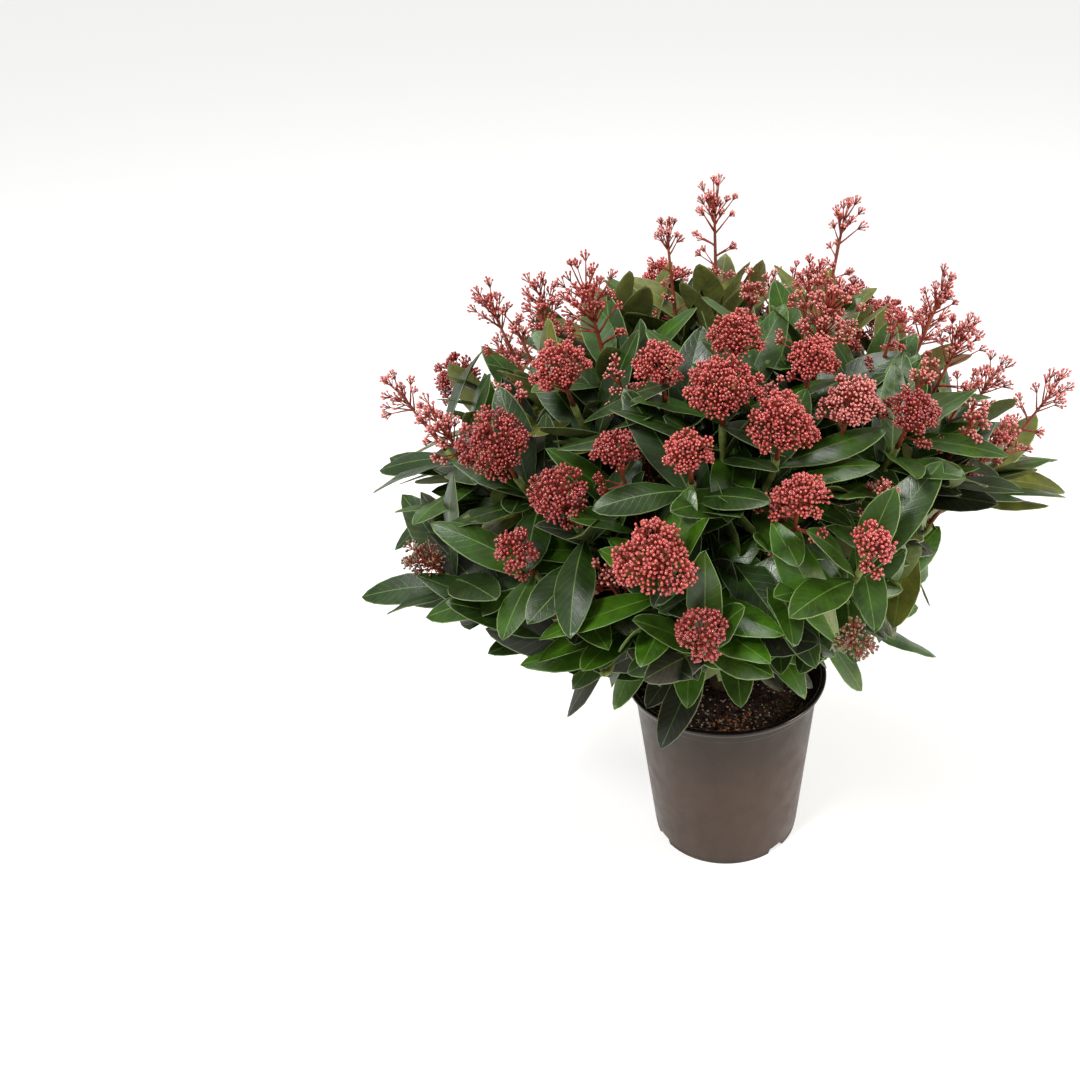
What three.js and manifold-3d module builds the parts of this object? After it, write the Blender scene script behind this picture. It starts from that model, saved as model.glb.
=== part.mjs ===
// A skimmia in its nursery pot: the pot, its soil, one short stem, the boughs that fork from it,
// and at each bough's tip a mass of twigs with leaves and flower heads.
// Millimetres and degrees, +Z up, -Y is the front. The origin is the centre of the pot's underside.

import * as THREE from "three";
import { mergeVertices } from "three/addons/utils/BufferGeometryUtils.js";
import Module from "manifold-3d";

const wasm = await Module();
wasm.setup();

// ---- Clearances ----
const GAP = 0.3; // between two pieces that meet
const SPACE_MARGIN = 1.5; // between a leaf or twig and the edge of its mass's space

// ---- Pot and soil ----
const POT_HEIGHT = 165;
const RIM_RADIUS = 86;
const RIM_BAND = 6; // height of the band round the rim
const RIM_THICKNESS = 4.5;
const RIM_ROUND = 1.4; // bevel on the rim band's edges
const SHOULDER_RADIUS = 79; // of the wall, just under the band
const BASE_RADIUS = 64;
const WALL = 2;
const FLOOR = 4;
const POT_SIDES = 36;
const NOTCH_TURNS = [-136, -60, 44, 134]; // drainage notches in the bottom edge
const NOTCH_WIDTH = 18;
const NOTCH_HEIGHT = 6.5;
const NOTCH_DEPTH = 3.6;
const SOIL_TOP = 152;
const SOIL_EDGE_DROP = 4; // the soil lies lower at the wall than round the stem
const SOIL_FLAT_RADIUS = 22;

// ---- Stem and boughs ----
const STEM_FOOT = SOIL_TOP + GAP;
const STEM_TIP = new THREE.Vector3(-1, 4, 266);
const STEM_FOOT_RADIUS = 10.5;
const STEM_TIP_RADIUS = 4.2;
const ROOT_FLARE = 4; // added to the radius at the soil
const FLARE_SHARE = 0.1; // share of the stem's height that the flare dies out over
const STEM_SIDES = 10;
const STEM_STRETCHES = 7;
const BOUGH_RADII = [4, 2.9]; // at its base and at its tip
const BOUGH_SIDES = 5;
const BOUGH_BEND = 30; // length over which a bough turns into its mass's direction

// ---- Crown ----
const HEART = new THREE.Vector3(0, 0, 200); // every mass's space fans out from here
const LIMB_REACH = 110; // the boughs end, and the masses begin, at this distance from the heart
const TWIG_SIDES = 3;
const MASS_STEM_RADII = [3.6, 3]; // of a mass's own stem, at its start and at its end
const TWIG_RADII = [3.2, 3];
const STALK_TIP_RADIUS = 1.3;
const MASS_STEM_STRETCHES = 3; // straight stretches in a mass's stem
const TWIG_STRETCHES = 2;
const STRAIGHT_START = 6; // of a mass's stem, in line with its bough
const FORK_AT = [0.5, 0.85]; // where side twigs leave a mass's stem, back from its end
const TWIG_BEND = 0.35; // share of a twig's length over which it turns into its shoot's axis
const TWIG_UPTURN = 0.35; // how far a shoot turns from its own direction towards the sky

// ---- Leaves ----
const LEAF_LENGTH = 94;
const LEAF_WIDTH = 30;
const LEAF_SIZES = [0.82, 1.1]; // smallest and largest, as shares
const LEAF_THICKNESS = 1.5;
const LEAF_SIDES = 4; // points in a leaf's outline
const LEAF_WIDEST = 0.56; // share of the length at which the leaf is widest
const LEAF_ROOT = 1.5; // how far a leaf is sunk past its twig's axis
const LEAF_SPREAD = [50, 88]; // angle off the twig, from the youngest leaf to the oldest
const UPRIGHT_SPREAD = [30, 68]; // the same on a shoot that stands upright
const UPRIGHT_LEAN = [14, 46]; // up to the first a shoot is upright, from the second it spreads
const LEAF_SPREAD_JITTER = 9;
const LEAF_DROOP = [0.1, 0.3]; // sag of the tip as a share of the length
const LEAF_FACE_UP = 0.55; // how far a leaf's upper side turns towards the sky
const LEAF_SPACING = 8.5; // along the twig
const LEAF_ROOM = 11; // kept free round a leaf's midrib
const LEAVES_UNDER_HEAD = 7;
const LEAVES_ON_LEAFY = 7;
const FEWEST_LEAVES = 2; // a leafy twig with room for fewer leaves isn't grown
// A leaf with no room is tried again shorter and closer to its twig: shares of length and spread.
const LEAF_TRIES = [[1, 1], [0.92, 0.75], [0.84, 1], [0.8, 0.5], [0.7, 0.8], [0.7, 0.45]];
const RIB_SHARES = [0.3, 0.5, 0.75, 1]; // places on a midrib that are held clear of others
const OUTLINE_SHARES = [0.3, LEAF_WIDEST, 0.8, 1]; // where a leaf's width is held in its space
const GOLDEN_TURN = 137.5;

// ---- The crown's outline ----
// No leaf hangs below the skirt, which is lifted on the side on which the soil lies open.
const SKIRT_FOOT = [174, 212]; // its height over the pot's rim, and that on the open side
const OPEN_TURN = 14;
const OPEN_SHARE = 2; // power of the share to which a point lies on the open side
const SKIRT_RISE = [0.28, 0.85]; // outwards from the rim: at the back and sides, and in front
const SKIRT_FRONT = 0.4; // power of the share to which a point lies in front
// Under the longest bough the crown is hollow: leaves that lie lower than it keep nearer the stem.
const HOLLOW_TURN = 98;
const HOLLOW_WIDTH = 50; // degrees to each side
const HOLLOW_TOP = 328; // beside the stem
const HOLLOW_SLOPE = 0.6; // by which its top rises towards the front
const HOLLOW_REACH = 168;
const HOLLOW_EASE = 3; // added to that reach for each degree past the hollow's width
const LEAF_REACH = 316; // of leaves from the heart: only the flower heads stand out further

// ---- Flower heads ----
// stalk: from the topmost leaves to the head's centre. height: of the head, and above: how much of
// that lies above its centre, as shares of its width.
// rings: the radius at equal steps from the head's top to its foot, as shares of half the width.
// lobes: the sprays that an open head parts into, with cleft the radius between them, as a share.
const HEADS = {
  dome: { stalk: 32, height: 0.85, above: 0.42, rings: [0.78, 1, 0.62], lobes: 3, cleft: 0.74 },
  perched: { stalk: 84, height: 0.95, above: 0.42, rings: [0.78, 1, 0.5], lobes: 3, cleft: 0.85 },
  loose: { stalk: 56, height: 1.3, above: 0.55, rings: [0.75, 1, 0.6], lobes: 4, cleft: 0.4 },
  tall: { stalk: 88, height: 1.9, above: 0.6, rings: [0.95, 0.35, 1], lobes: 3, cleft: 0.3 },
  dry: { stalk: 20, height: 0.85, above: 0.42, rings: [0.8, 1, 0.6], lobes: 3, cleft: 0.6 },
};

// ---- The plant's plan ----
// A shoot is [turn, lean, reach, width, head]. turn goes from the front towards +X, lean is from
// upright, reach is from the heart to the head's centre, or to the tip of a shoot with no head.
// leaves is the height at which a mass's bough leaves the stem's axis.
const MASSES = [
  {
    name: "top",
    leaves: 264,
    shoots: [
      [-174, 14, 348, 44, "tall"],
      [-152, 17, 331, 35, "tall"],
      [176, 36, 290, 44, "dome"],
      [-125, 24, 268, 0, "leafy"],
    ],
  },
  {
    name: "top_right",
    leaves: 241,
    shoots: [
      [72, 11, 329, 35, "loose"],
      [129, 19, 350, 37, "tall"],
      [46, 17, 325, 65, "loose"],
      [143, 36, 300, 46, "dome"],
    ],
  },
  {
    name: "top_left",
    leaves: 239,
    shoots: [
      [-74, 18, 326, 58, "loose"],
      [-82, 28, 322, 30, "loose"],
      [-50, 27, 321, 44, "dome"],
    ],
  },
  {
    name: "top_front",
    leaves: 228,
    shoots: [
      [-1, 25, 320, 53, "dome"],
      [4, 17, 324, 39, "dome"],
      [-21, 22, 321, 37, "dome"],
      [28, 22, 322, 39, "dome"],
    ],
  },
  {
    name: "high_right",
    leaves: 224,
    shoots: [
      [84, 32, 318, 49, "tall"],
      [106, 31, 329, 39, "tall"],
      [70, 23, 322, 28, "loose"],
      [124, 40, 316, 49, "loose"],
    ],
  },
  {
    name: "front",
    leaves: 216,
    shoots: [
      [-8, 33, 314, 35, "dome"],
      [13, 30, 316, 49, "dome"],
      [14, 39, 313, 37, "perched"],
    ],
  },
  {
    name: "high_left",
    leaves: 222,
    shoots: [
      [-104, 34, 327, 42, "tall"],
      [-128, 37, 318, 51, "loose"],
      [-112, 23, 300, 39, "loose"],
    ],
  },
  {
    name: "front_right",
    leaves: 206,
    shoots: [
      [46, 33, 316, 39, "dome"],
      [32, 29, 318, 44, "dome"],
      [57, 30, 319, 30, "loose"],
      [64, 38, 313, 32, "loose"],
    ],
  },
  {
    name: "front_left",
    leaves: 199,
    shoots: [
      [-32, 41, 306, 44, "dome"],
      [-24, 34, 313, 32, "perched"],
      [-38, 49, 298, 30, "dome"],
    ],
  },
  {
    name: "left",
    leaves: 211,
    shoots: [
      [-52, 39, 311, 56, "dome"],
      [-77, 44, 306, 53, "loose"],
      [-66, 33, 300, 30, "loose"],
    ],
  },
  {
    name: "back",
    leaves: 211,
    shoots: [
      [180, 46, 308, 51, "dome"],
      [163, 40, 312, 44, "loose"],
      [-163, 38, 314, 46, "dome"],
      [178, 60, 290, 35, "dome"],
      [168, 74, 215, 0, "leafy"],
      [-170, 76, 212, 0, "leafy"],
    ],
  },
  {
    name: "far_right",
    leaves: 196,
    shoots: [
      [91, 48, 330, 42, "tall"],
      [112, 50, 308, 46, "loose"],
      [84, 48, 192, 0, "leafy"],
      [108, 52, 186, 0, "leafy"],
    ],
  },
  {
    name: "low_front",
    leaves: 188,
    shoots: [
      [-12, 46, 299, 56, "dome"],
      [-4, 54, 288, 37, "dome"],
      [-22, 58, 205, 0, "leafy"],
      [4, 57, 198, 0, "leafy"],
      [16, 44, 150, 0, "leafy"],
      [-16, 42, 142, 0, "leafy"],
    ],
  },
  {
    name: "far_left",
    leaves: 197,
    shoots: [
      [-91, 48, 332, 39, "loose"],
      [-110, 49, 310, 42, "dome"],
      [-92, 62, 202, 0, "leafy"],
      [-112, 66, 196, 0, "leafy"],
    ],
  },
  {
    name: "back_right",
    leaves: 186,
    shoots: [
      [142, 46, 306, 49, "dome"],
      [130, 58, 292, 42, "loose"],
      [152, 60, 288, 35, "dome"],
      [126, 66, 168, 0, "leafy"],
      [150, 74, 188, 0, "leafy"],
    ],
  },
  {
    name: "low_right",
    leaves: 178,
    shoots: [
      [26, 46, 302, 30, "dome"],
      [20, 56, 284, 28, "dry"],
      [44, 54, 194, 0, "leafy"],
      [60, 56, 176, 0, "leafy"],
      [30, 48, 158, 0, "leafy"],
      [58, 66, 150, 0, "leafy"],
    ],
  },
  {
    name: "low_left",
    leaves: 176,
    shoots: [
      [-60, 58, 288, 32, "dry"],
      [-46, 62, 208, 0, "leafy"],
      [-70, 66, 202, 0, "leafy"],
      [-84, 76, 190, 0, "leafy"],
      [-58, 70, 186, 0, "leafy"],
      [-42, 60, 150, 0, "leafy"],
    ],
  },
  {
    name: "back_left",
    leaves: 185,
    shoots: [
      [-140, 50, 302, 49, "dome"],
      [-126, 56, 292, 39, "loose"],
      [-154, 58, 290, 37, "dome"],
      [-132, 72, 216, 0, "leafy"],
      [-152, 75, 210, 0, "leafy"],
    ],
  },
];

// ---- Finishes ----
const FINISH = {
  pot: new THREE.MeshStandardMaterial({ color: 0x4a4140, roughness: 0.45, metalness: 0 }),
  soil: new THREE.MeshStandardMaterial({ color: 0x2b1c14, roughness: 0.95, metalness: 0 }),
  bark: new THREE.MeshStandardMaterial({ color: 0x5d5136, roughness: 0.85, metalness: 0 }),
  foliage: new THREE.MeshStandardMaterial({ color: 0x2e5a2a, roughness: 0.4, metalness: 0 }),
};

// ---- Small tools ----

const SKY = new THREE.Vector3(0, 0, 1);
const BACK = new THREE.Vector3(0, 1, 0);
const STEEP = 0.9; // an axis with more than this share of it upright takes BACK as its hint
const WELD = 1e-4; // corners nearer than this are one
const SEED_WAVE = [127.1, 311.7, 74.7, 43758.5453]; // any large uneven numbers
const DRAW = { turn: 1, spread: 2, size: 3, droop: 4, head: 5, fork: 6 };

// A repeatable fraction from 0 to 1 for a shoot, one of its draws and, for a leaf, its index.
function seeded(shoot, draw, index = draw) {
  const [perShoot, perIndex, perDraw, spread] = SEED_WAVE;
  const wave = Math.sin(shoot.number * perShoot + index * perIndex + draw * perDraw) * spread;
  return wave - Math.floor(wave);
}

function between([low, high], share) {
  return low + (high - low) * share;
}

function direction(turn, lean) {
  const turnAngle = THREE.MathUtils.degToRad(turn);
  const leanAngle = THREE.MathUtils.degToRad(lean);
  const out = Math.sin(leanAngle);
  return new THREE.Vector3(out * Math.sin(turnAngle), -out * Math.cos(turnAngle), Math.cos(leanAngle));
}

function stepFrom(point, way, distance) {
  return point.clone().addScaledVector(way, distance);
}

// The part of a direction that is square to an axis, at unit length.
function squareTo(axis, way) {
  return way.clone().addScaledVector(axis, -way.dot(axis)).normalize();
}

// Two unit vectors that make a right-handed frame with an axis.
function sideways(axis) {
  const hint = Math.abs(axis.z) < STEEP ? SKY : BACK;
  const first = squareTo(axis, hint);
  return [first, axis.clone().cross(first)];
}

function solidOf(geometry) {
  const bare = geometry.clone();
  bare.deleteAttribute("normal");
  bare.deleteAttribute("uv");
  const merged = mergeVertices(bare, WELD);
  return new wasm.Manifold(
    new wasm.Mesh({
      numProp: 3,
      vertProperties: new Float32Array(merged.attributes.position.array),
      triVerts: new Uint32Array(merged.index.array),
    }),
  );
}

function geometryOf(solid) {
  const mesh = solid.getMesh();
  const geometry = new THREE.BufferGeometry();
  geometry.setAttribute("position", new THREE.BufferAttribute(mesh.vertProperties, 3));
  geometry.setIndex(new THREE.BufferAttribute(mesh.triVerts, 1));
  geometry.computeVertexNormals();
  return geometry;
}

// The largest body of a solid: fills any hollow that fusing sealed and drops loose scraps.
function onePiece(solid) {
  const bodies = solid.decompose();
  return bodies.reduce((best, body) => (body.volume() > best.volume() ? body : best));
}

function namedMesh(name, geometry, material) {
  const mesh = new THREE.Mesh(geometry, material);
  mesh.name = name;
  return mesh;
}

// A round limb through points, with a radius at each of them.
function limbGeometry(points, radii, sides) {
  const last = points.length - 1;
  const geometry = new THREE.CylinderGeometry(1, 1, last, sides, last);
  const [hint] = sideways(points[last].clone().sub(points[0]).normalize());
  const place = geometry.attributes.position;
  for (let i = 0; i < place.count; i += 1) {
    const ring = Math.round(place.getY(i) + last / 2);
    const next = points[Math.min(ring + 1, last)];
    const tangent = next.clone().sub(points[Math.max(ring - 1, 0)]).normalize();
    const across = squareTo(tangent, hint);
    const over = across.clone().cross(tangent);
    const point = stepFrom(points[ring], across, place.getX(i) * radii[ring]);
    point.addScaledVector(over, place.getZ(i) * radii[ring]);
    place.setXYZ(i, point.x, point.y, point.z);
  }
  return geometry;
}

// Radii that taper evenly over a number of points.
function taper(range, count) {
  return Array.from({ length: count }, (_, i) => between(range, i / (count - 1)));
}

// ---- Pot, soil, stem and boughs ----

// The inner wall's radius at a height under the rim band.
function innerRadius(height) {
  const share = height / (POT_HEIGHT - RIM_BAND);
  return between([BASE_RADIUS, SHOULDER_RADIUS], share) - WALL;
}

function lathe(profile) {
  const points = profile.map(([radius, height]) => new THREE.Vector2(radius, height));
  return new THREE.LatheGeometry(points, POT_SIDES).rotateX(Math.PI / 2);
}

function potGeometry() {
  const bandFoot = POT_HEIGHT - RIM_BAND;
  const rimInside = RIM_RADIUS - RIM_THICKNESS;
  let body = solidOf(
    lathe([
      [0, 0],
      [BASE_RADIUS, 0],
      [SHOULDER_RADIUS, bandFoot],
      [RIM_RADIUS - RIM_ROUND, bandFoot],
      [RIM_RADIUS, bandFoot + RIM_ROUND],
      [RIM_RADIUS, POT_HEIGHT - RIM_ROUND],
      [RIM_RADIUS - RIM_ROUND, POT_HEIGHT],
      [rimInside + RIM_ROUND, POT_HEIGHT],
      [rimInside, POT_HEIGHT - RIM_ROUND],
      [innerRadius(bandFoot), bandFoot - RIM_THICKNESS],
      [innerRadius(FLOOR), FLOOR],
      [0, FLOOR],
    ]),
  );
  for (const turn of NOTCH_TURNS) {
    const notch = new THREE.BoxGeometry(NOTCH_WIDTH, 2 * NOTCH_DEPTH, 2 * NOTCH_HEIGHT);
    notch.translate(0, -BASE_RADIUS, 0);
    notch.rotateZ(THREE.MathUtils.degToRad(turn));
    body = body.subtract(solidOf(notch));
  }
  return geometryOf(onePiece(body));
}

function soilGeometry() {
  const bottom = FLOOR + GAP;
  const edge = SOIL_TOP - SOIL_EDGE_DROP;
  return lathe([
    [0, bottom],
    [innerRadius(bottom) - GAP, bottom],
    [innerRadius(edge) - 2 * GAP, edge],
    [(innerRadius(edge) + SOIL_FLAT_RADIUS) / 2, SOIL_TOP - GAP],
    [SOIL_FLAT_RADIUS, SOIL_TOP],
    [0, SOIL_TOP],
  ]);
}

const stemCurve = new THREE.QuadraticBezierCurve3(
  new THREE.Vector3(0, 0, STEM_FOOT),
  new THREE.Vector3(0, 0, (STEM_FOOT + STEM_TIP.z) / 2),
  STEM_TIP,
);

function stemRadius(share) {
  const flare = ROOT_FLARE * Math.exp(-share / FLARE_SHARE);
  return between([STEM_FOOT_RADIUS, STEM_TIP_RADIUS], share) + flare;
}

// The stem, or with a clearance the room that its boughs leave round it.
function stemGeometry(clearance) {
  const shares = taper([0, 1], STEM_STRETCHES + 1);
  const radii = shares.map((share) => stemRadius(share) + clearance);
  const points = shares.map((share) => stemCurve.getPoint(share));
  // The foot is cut flat, so its first stretch stands upright.
  points[1].setX(points[0].x).setY(points[0].y);
  return limbGeometry(points, radii, STEM_SIDES);
}

// The middle direction of a mass's shoots, which its bough follows.
function massDirection(mass) {
  const sum = new THREE.Vector3();
  for (const shoot of mass.shoots) sum.add(shoot.way);
  return sum.normalize();
}

function boughGeometry(mass, stemRoom) {
  const base = stemCurve.getPoint((mass.leaves - STEM_FOOT) / (STEM_TIP.z - STEM_FOOT));
  const tip = stepFrom(HEART, mass.way, LIMB_REACH);
  const points = [base, stepFrom(tip, mass.way, -BOUGH_BEND), tip];
  const body = solidOf(limbGeometry(points, taper(BOUGH_RADII, points.length), BOUGH_SIDES));
  return geometryOf(onePiece(body.subtract(stemRoom)));
}

// ---- Shoots, leaves and heads ----

// Spells out the plan: every shoot gets its directions, its whorl's place and its mass.
function planShoots() {
  let number = 0;
  for (const mass of MASSES) {
    mass.shoots = mass.shoots.map(([turn, lean, reach, width, kind]) => {
      number += 1;
      const way = direction(turn, lean);
      const axis = way.clone().lerp(SKY, TWIG_UPTURN).normalize();
      const tip = stepFrom(HEART, way, reach);
      const stalk = kind === "leafy" ? 0 : HEADS[kind].stalk;
      const whorl = stepFrom(tip, axis, -stalk);
      return { number, mass, way, axis, lean, tip, width, kind, whorl };
    });
    mass.way = massDirection(mass);
  }
}

// The lowest that a leaf may hang at a point's place.
function skirtHeight(point) {
  const out = Math.hypot(point.x, point.y);
  const open = direction(OPEN_TURN, 90);
  const inFront = Math.max(-point.y / out, 0) ** SKIRT_FRONT;
  const inOpening = Math.max((point.x * open.x + point.y * open.y) / out, 0) ** OPEN_SHARE;
  const rise = between(SKIRT_RISE, inFront) * Math.max(out - RIM_RADIUS, 0);
  return between(SKIRT_FOOT, inOpening) + rise;
}

function inHollow(point) {
  if (point.z > HOLLOW_TOP - HOLLOW_SLOPE * point.y) return false;
  const turn = THREE.MathUtils.radToDeg(Math.atan2(point.x, -point.y));
  const eased = HOLLOW_EASE * Math.max(Math.abs(turn - HOLLOW_TURN) - HOLLOW_WIDTH, 0);
  return Math.hypot(point.x, point.y) > HOLLOW_REACH + eased;
}

function insideOutline(point) {
  if (point.z < skirtHeight(point) || inHollow(point)) return false;
  return point.distanceTo(HEART) < LEAF_REACH;
}

function clearOfPot(point) {
  const outside = Math.hypot(point.x, point.y) > RIM_RADIUS + SPACE_MARGIN;
  return outside || point.z > POT_HEIGHT + SPACE_MARGIN;
}

// A mass's space: the directions from the heart that lie nearer to its shoots than to any other's.
function keepsToSpace(point, mass) {
  const ray = point.clone().sub(HEART);
  const distance = ray.length();
  let own = Math.PI;
  let other = Math.PI;
  for (const neighbour of MASSES) {
    for (const shoot of neighbour.shoots) {
      const angle = ray.angleTo(shoot.way);
      if (neighbour === mass) own = Math.min(own, angle);
      else other = Math.min(other, angle);
    }
  }
  const clearOfNeighbours = ((other - own) / 2) * distance > SPACE_MARGIN;
  return clearOfNeighbours && distance > LIMB_REACH + SPACE_MARGIN && clearOfPot(point);
}

// The point at a distance back from the end of a line of points, with the line's direction there.
function backAlong(points, distance) {
  let left = distance;
  for (let i = points.length - 1; i > 0; i -= 1) {
    const stretch = points[i].distanceTo(points[i - 1]);
    const axis = points[i].clone().sub(points[i - 1]).normalize();
    if (left <= stretch || i === 1) return { point: stepFrom(points[i], axis, -left), axis };
    left -= stretch;
  }
  return null;
}

// A leaf in its own frame: x along the midrib, y across, z out of the upper side.
function leafPoint(leaf, share, across, height) {
  return leaf.root
    .clone()
    .addScaledVector(leaf.along, leaf.length * share)
    .addScaledVector(leaf.across, across)
    .addScaledVector(leaf.up, height - leaf.droop * leaf.length * share * share);
}

// A blade with a sharp outline and one ridge above and below its midrib.
function leafGeometry(leaf) {
  const geometry = new THREE.SphereGeometry(1, LEAF_SIDES, 2);
  const place = geometry.attributes.position;
  for (let i = 0; i < place.count; i += 1) {
    const pole = Math.abs(place.getY(i)) > 0.5;
    const outline = (1 - place.getX(i)) / 2;
    const share = pole ? LEAF_WIDEST : outline ** (Math.log(LEAF_WIDEST) / Math.log(0.5));
    const height = pole ? (Math.sign(place.getY(i)) * LEAF_THICKNESS) / 2 : 0;
    const point = leafPoint(leaf, share, (pole ? 0 : place.getZ(i) * leaf.width) / 2, height);
    place.setXYZ(i, point.x, point.y, point.z);
  }
  return geometry;
}

// Whether a leaf lies in its mass's space, with its midrib inside the crown's outline.
function leafKeepsToSpace(leaf, mass) {
  for (const share of OUTLINE_SHARES) {
    const rib = leafPoint(leaf, share, 0, 0);
    if (!insideOutline(rib)) return false;
    const half = (leaf.width / 2) * (1 - Math.abs(share - LEAF_WIDEST) / LEAF_WIDEST);
    for (const across of [-half, 0, half]) {
      if (!keepsToSpace(leafPoint(leaf, share, across, 0), mass)) return false;
    }
  }
  return true;
}

// Whether a leaf's midrib lies clear of those of the leaves that have grown before it.
function leafHasRoom(leaf, grown) {
  const ribs = RIB_SHARES.map((share) => leafPoint(leaf, share, 0, 0));
  for (const other of grown) {
    for (const otherShare of RIB_SHARES) {
      const point = leafPoint(other, otherShare, 0, 0);
      if (ribs.some((rib) => rib.distanceTo(point) < LEAF_ROOM)) return false;
    }
  }
  return true;
}

// The angles off the twig of a shoot's youngest and oldest leaf.
function leafSpread(shoot) {
  const spreading = THREE.MathUtils.smoothstep(shoot.lean, UPRIGHT_LEAN[0], UPRIGHT_LEAN[1]);
  return UPRIGHT_SPREAD.map((upright, i) => between([upright, LEAF_SPREAD[i]], spreading));
}

// One leaf of a shoot, counted from the topmost, or null where it has no room.
function growLeaf(shoot, twig, index, count, grown) {
  const { point, axis } = backAlong(twig, index * LEAF_SPACING);
  const [first, second] = sideways(axis);
  const turn = THREE.MathUtils.degToRad(GOLDEN_TURN * index + 360 * seeded(shoot, DRAW.turn));
  const outward = first.multiplyScalar(Math.cos(turn)).addScaledVector(second, Math.sin(turn));
  const jitter = (seeded(shoot, DRAW.spread, index) * 2 - 1) * LEAF_SPREAD_JITTER;
  const fullSpread = between(leafSpread(shoot), index / (count - 1)) + jitter;
  const size = between(LEAF_SIZES, seeded(shoot, DRAW.size, index));
  const face = axis.clone().lerp(SKY, LEAF_FACE_UP);
  for (const [lengthShare, spreadShare] of LEAF_TRIES) {
    const spread = THREE.MathUtils.degToRad(fullSpread * spreadShare);
    const along = axis.clone().multiplyScalar(Math.cos(spread));
    along.addScaledVector(outward, Math.sin(spread));
    const up = squareTo(along, face);
    const leaf = {
      root: stepFrom(point, along, -LEAF_ROOT),
      along,
      up,
      across: up.clone().cross(along),
      length: LEAF_LENGTH * size * lengthShare,
      width: LEAF_WIDTH * Math.sqrt(size * lengthShare),
      droop: between(LEAF_DROOP, seeded(shoot, DRAW.droop, index)),
    };
    if (leafHasRoom(leaf, grown) && leafKeepsToSpace(leaf, shoot.mass)) return leaf;
  }
  return null;
}

// The flower head of a shoot: one form with lobes, round the shoot's axis.
function headSolid(shoot) {
  const { height, above, rings, lobes, cleft } = HEADS[shoot.kind];
  const { axis, tip, width } = shoot;
  const [first, second] = sideways(axis);
  const geometry = new THREE.SphereGeometry(1, 2 * lobes, rings.length + 1);
  const place = geometry.attributes.position;
  for (let i = 0; i < place.count; i += 1) {
    const ring = Math.round((Math.acos(place.getY(i)) / Math.PI) * (rings.length + 1));
    const turn = Math.atan2(place.getZ(i), place.getX(i));
    const inCleft = Math.abs(Math.round((turn * lobes) / Math.PI)) % 2 === 1;
    const radius = (width / 2) * (rings[ring - 1] ?? 0) * (inCleft ? cleft : 1);
    const ownTurn = turn + 2 * Math.PI * seeded(shoot, DRAW.head);
    const rise = width * (above - (height * ring) / (rings.length + 1));
    const point = stepFrom(tip, axis, rise);
    point.addScaledVector(first, radius * Math.sin(ownTurn));
    point.addScaledVector(second, radius * Math.cos(ownTurn));
    place.setXYZ(i, point.x, point.y, point.z);
  }
  return solidOf(geometry);
}

// A twig's points, from a start to its shoot's whorl, leaving the start in the given direction.
function twigPoints(start, way, shoot, stretches) {
  const room = start.distanceTo(shoot.whorl);
  const curve = new THREE.CubicBezierCurve3(
    start,
    stepFrom(start, way, TWIG_BEND * room),
    stepFrom(shoot.whorl, shoot.axis, -TWIG_BEND * room),
    shoot.whorl,
  );
  return curve.getPoints(stretches);
}

function twigKeepsToSpace(twig, mass) {
  return twig.slice(1).every((point) => keepsToSpace(point, mass));
}

// A twig with the stalk that it goes on into under a flower head.
function twigSolid(twig, shoot, radii) {
  const twigRadii = taper(radii, twig.length);
  if (shoot.kind === "leafy") return solidOf(limbGeometry(twig, twigRadii, TWIG_SIDES));
  return solidOf(limbGeometry([...twig, shoot.tip], [...twigRadii, STALK_TIP_RADIUS], TWIG_SIDES));
}

// A side twig, from its fork on the mass's stem to its shoot's whorl.
function sideTwig(stem, shoot) {
  const [leader] = shoot.mass.shoots;
  const back = between(FORK_AT, seeded(shoot, DRAW.fork)) * stem[0].distanceTo(leader.whorl);
  const fork = backAlong(stem, back).point;
  return twigPoints(fork, shoot.tip.clone().sub(fork).normalize(), shoot, TWIG_STRETCHES);
}

// The leaves of one shoot that find room beside those that have grown already.
function growLeaves(shoot, twig, grown) {
  const count = shoot.kind === "leafy" ? LEAVES_ON_LEAFY : LEAVES_UNDER_HEAD;
  const leaves = [];
  for (let index = 0; index < count; index += 1) {
    const leaf = growLeaf(shoot, twig, index, count, [...grown, ...leaves]);
    if (leaf) leaves.push(leaf);
  }
  return leaves;
}

// A mass: its stem runs on to the first shoot, and a twig leads from it to each of the others.
function massGeometry(mass) {
  const [leader] = mass.shoots;
  const start = stepFrom(HEART, mass.way, LIMB_REACH + GAP);
  const [, ...onward] = twigPoints(start, mass.way, leader, MASS_STEM_STRETCHES);
  const stem = [start, stepFrom(start, mass.way, STRAIGHT_START), ...onward];
  const grown = [];
  let body = twigSolid(stem, leader, MASS_STEM_RADII);
  for (const shoot of mass.shoots) {
    const twig = shoot === leader ? stem : sideTwig(stem, shoot);
    if (shoot !== leader && !twigKeepsToSpace(twig, mass)) continue;
    const leaves = growLeaves(shoot, twig, grown);
    if (shoot.kind === "leafy" && leaves.length < FEWEST_LEAVES) continue;
    grown.push(...leaves);
    if (shoot !== leader) body = body.add(twigSolid(twig, shoot, TWIG_RADII));
    for (const leaf of leaves) body = body.add(solidOf(leafGeometry(leaf)));
    if (shoot.kind !== "leafy") body = body.add(headSolid(shoot));
  }
  return geometryOf(onePiece(body));
}

// ---- The plant ----

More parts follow.
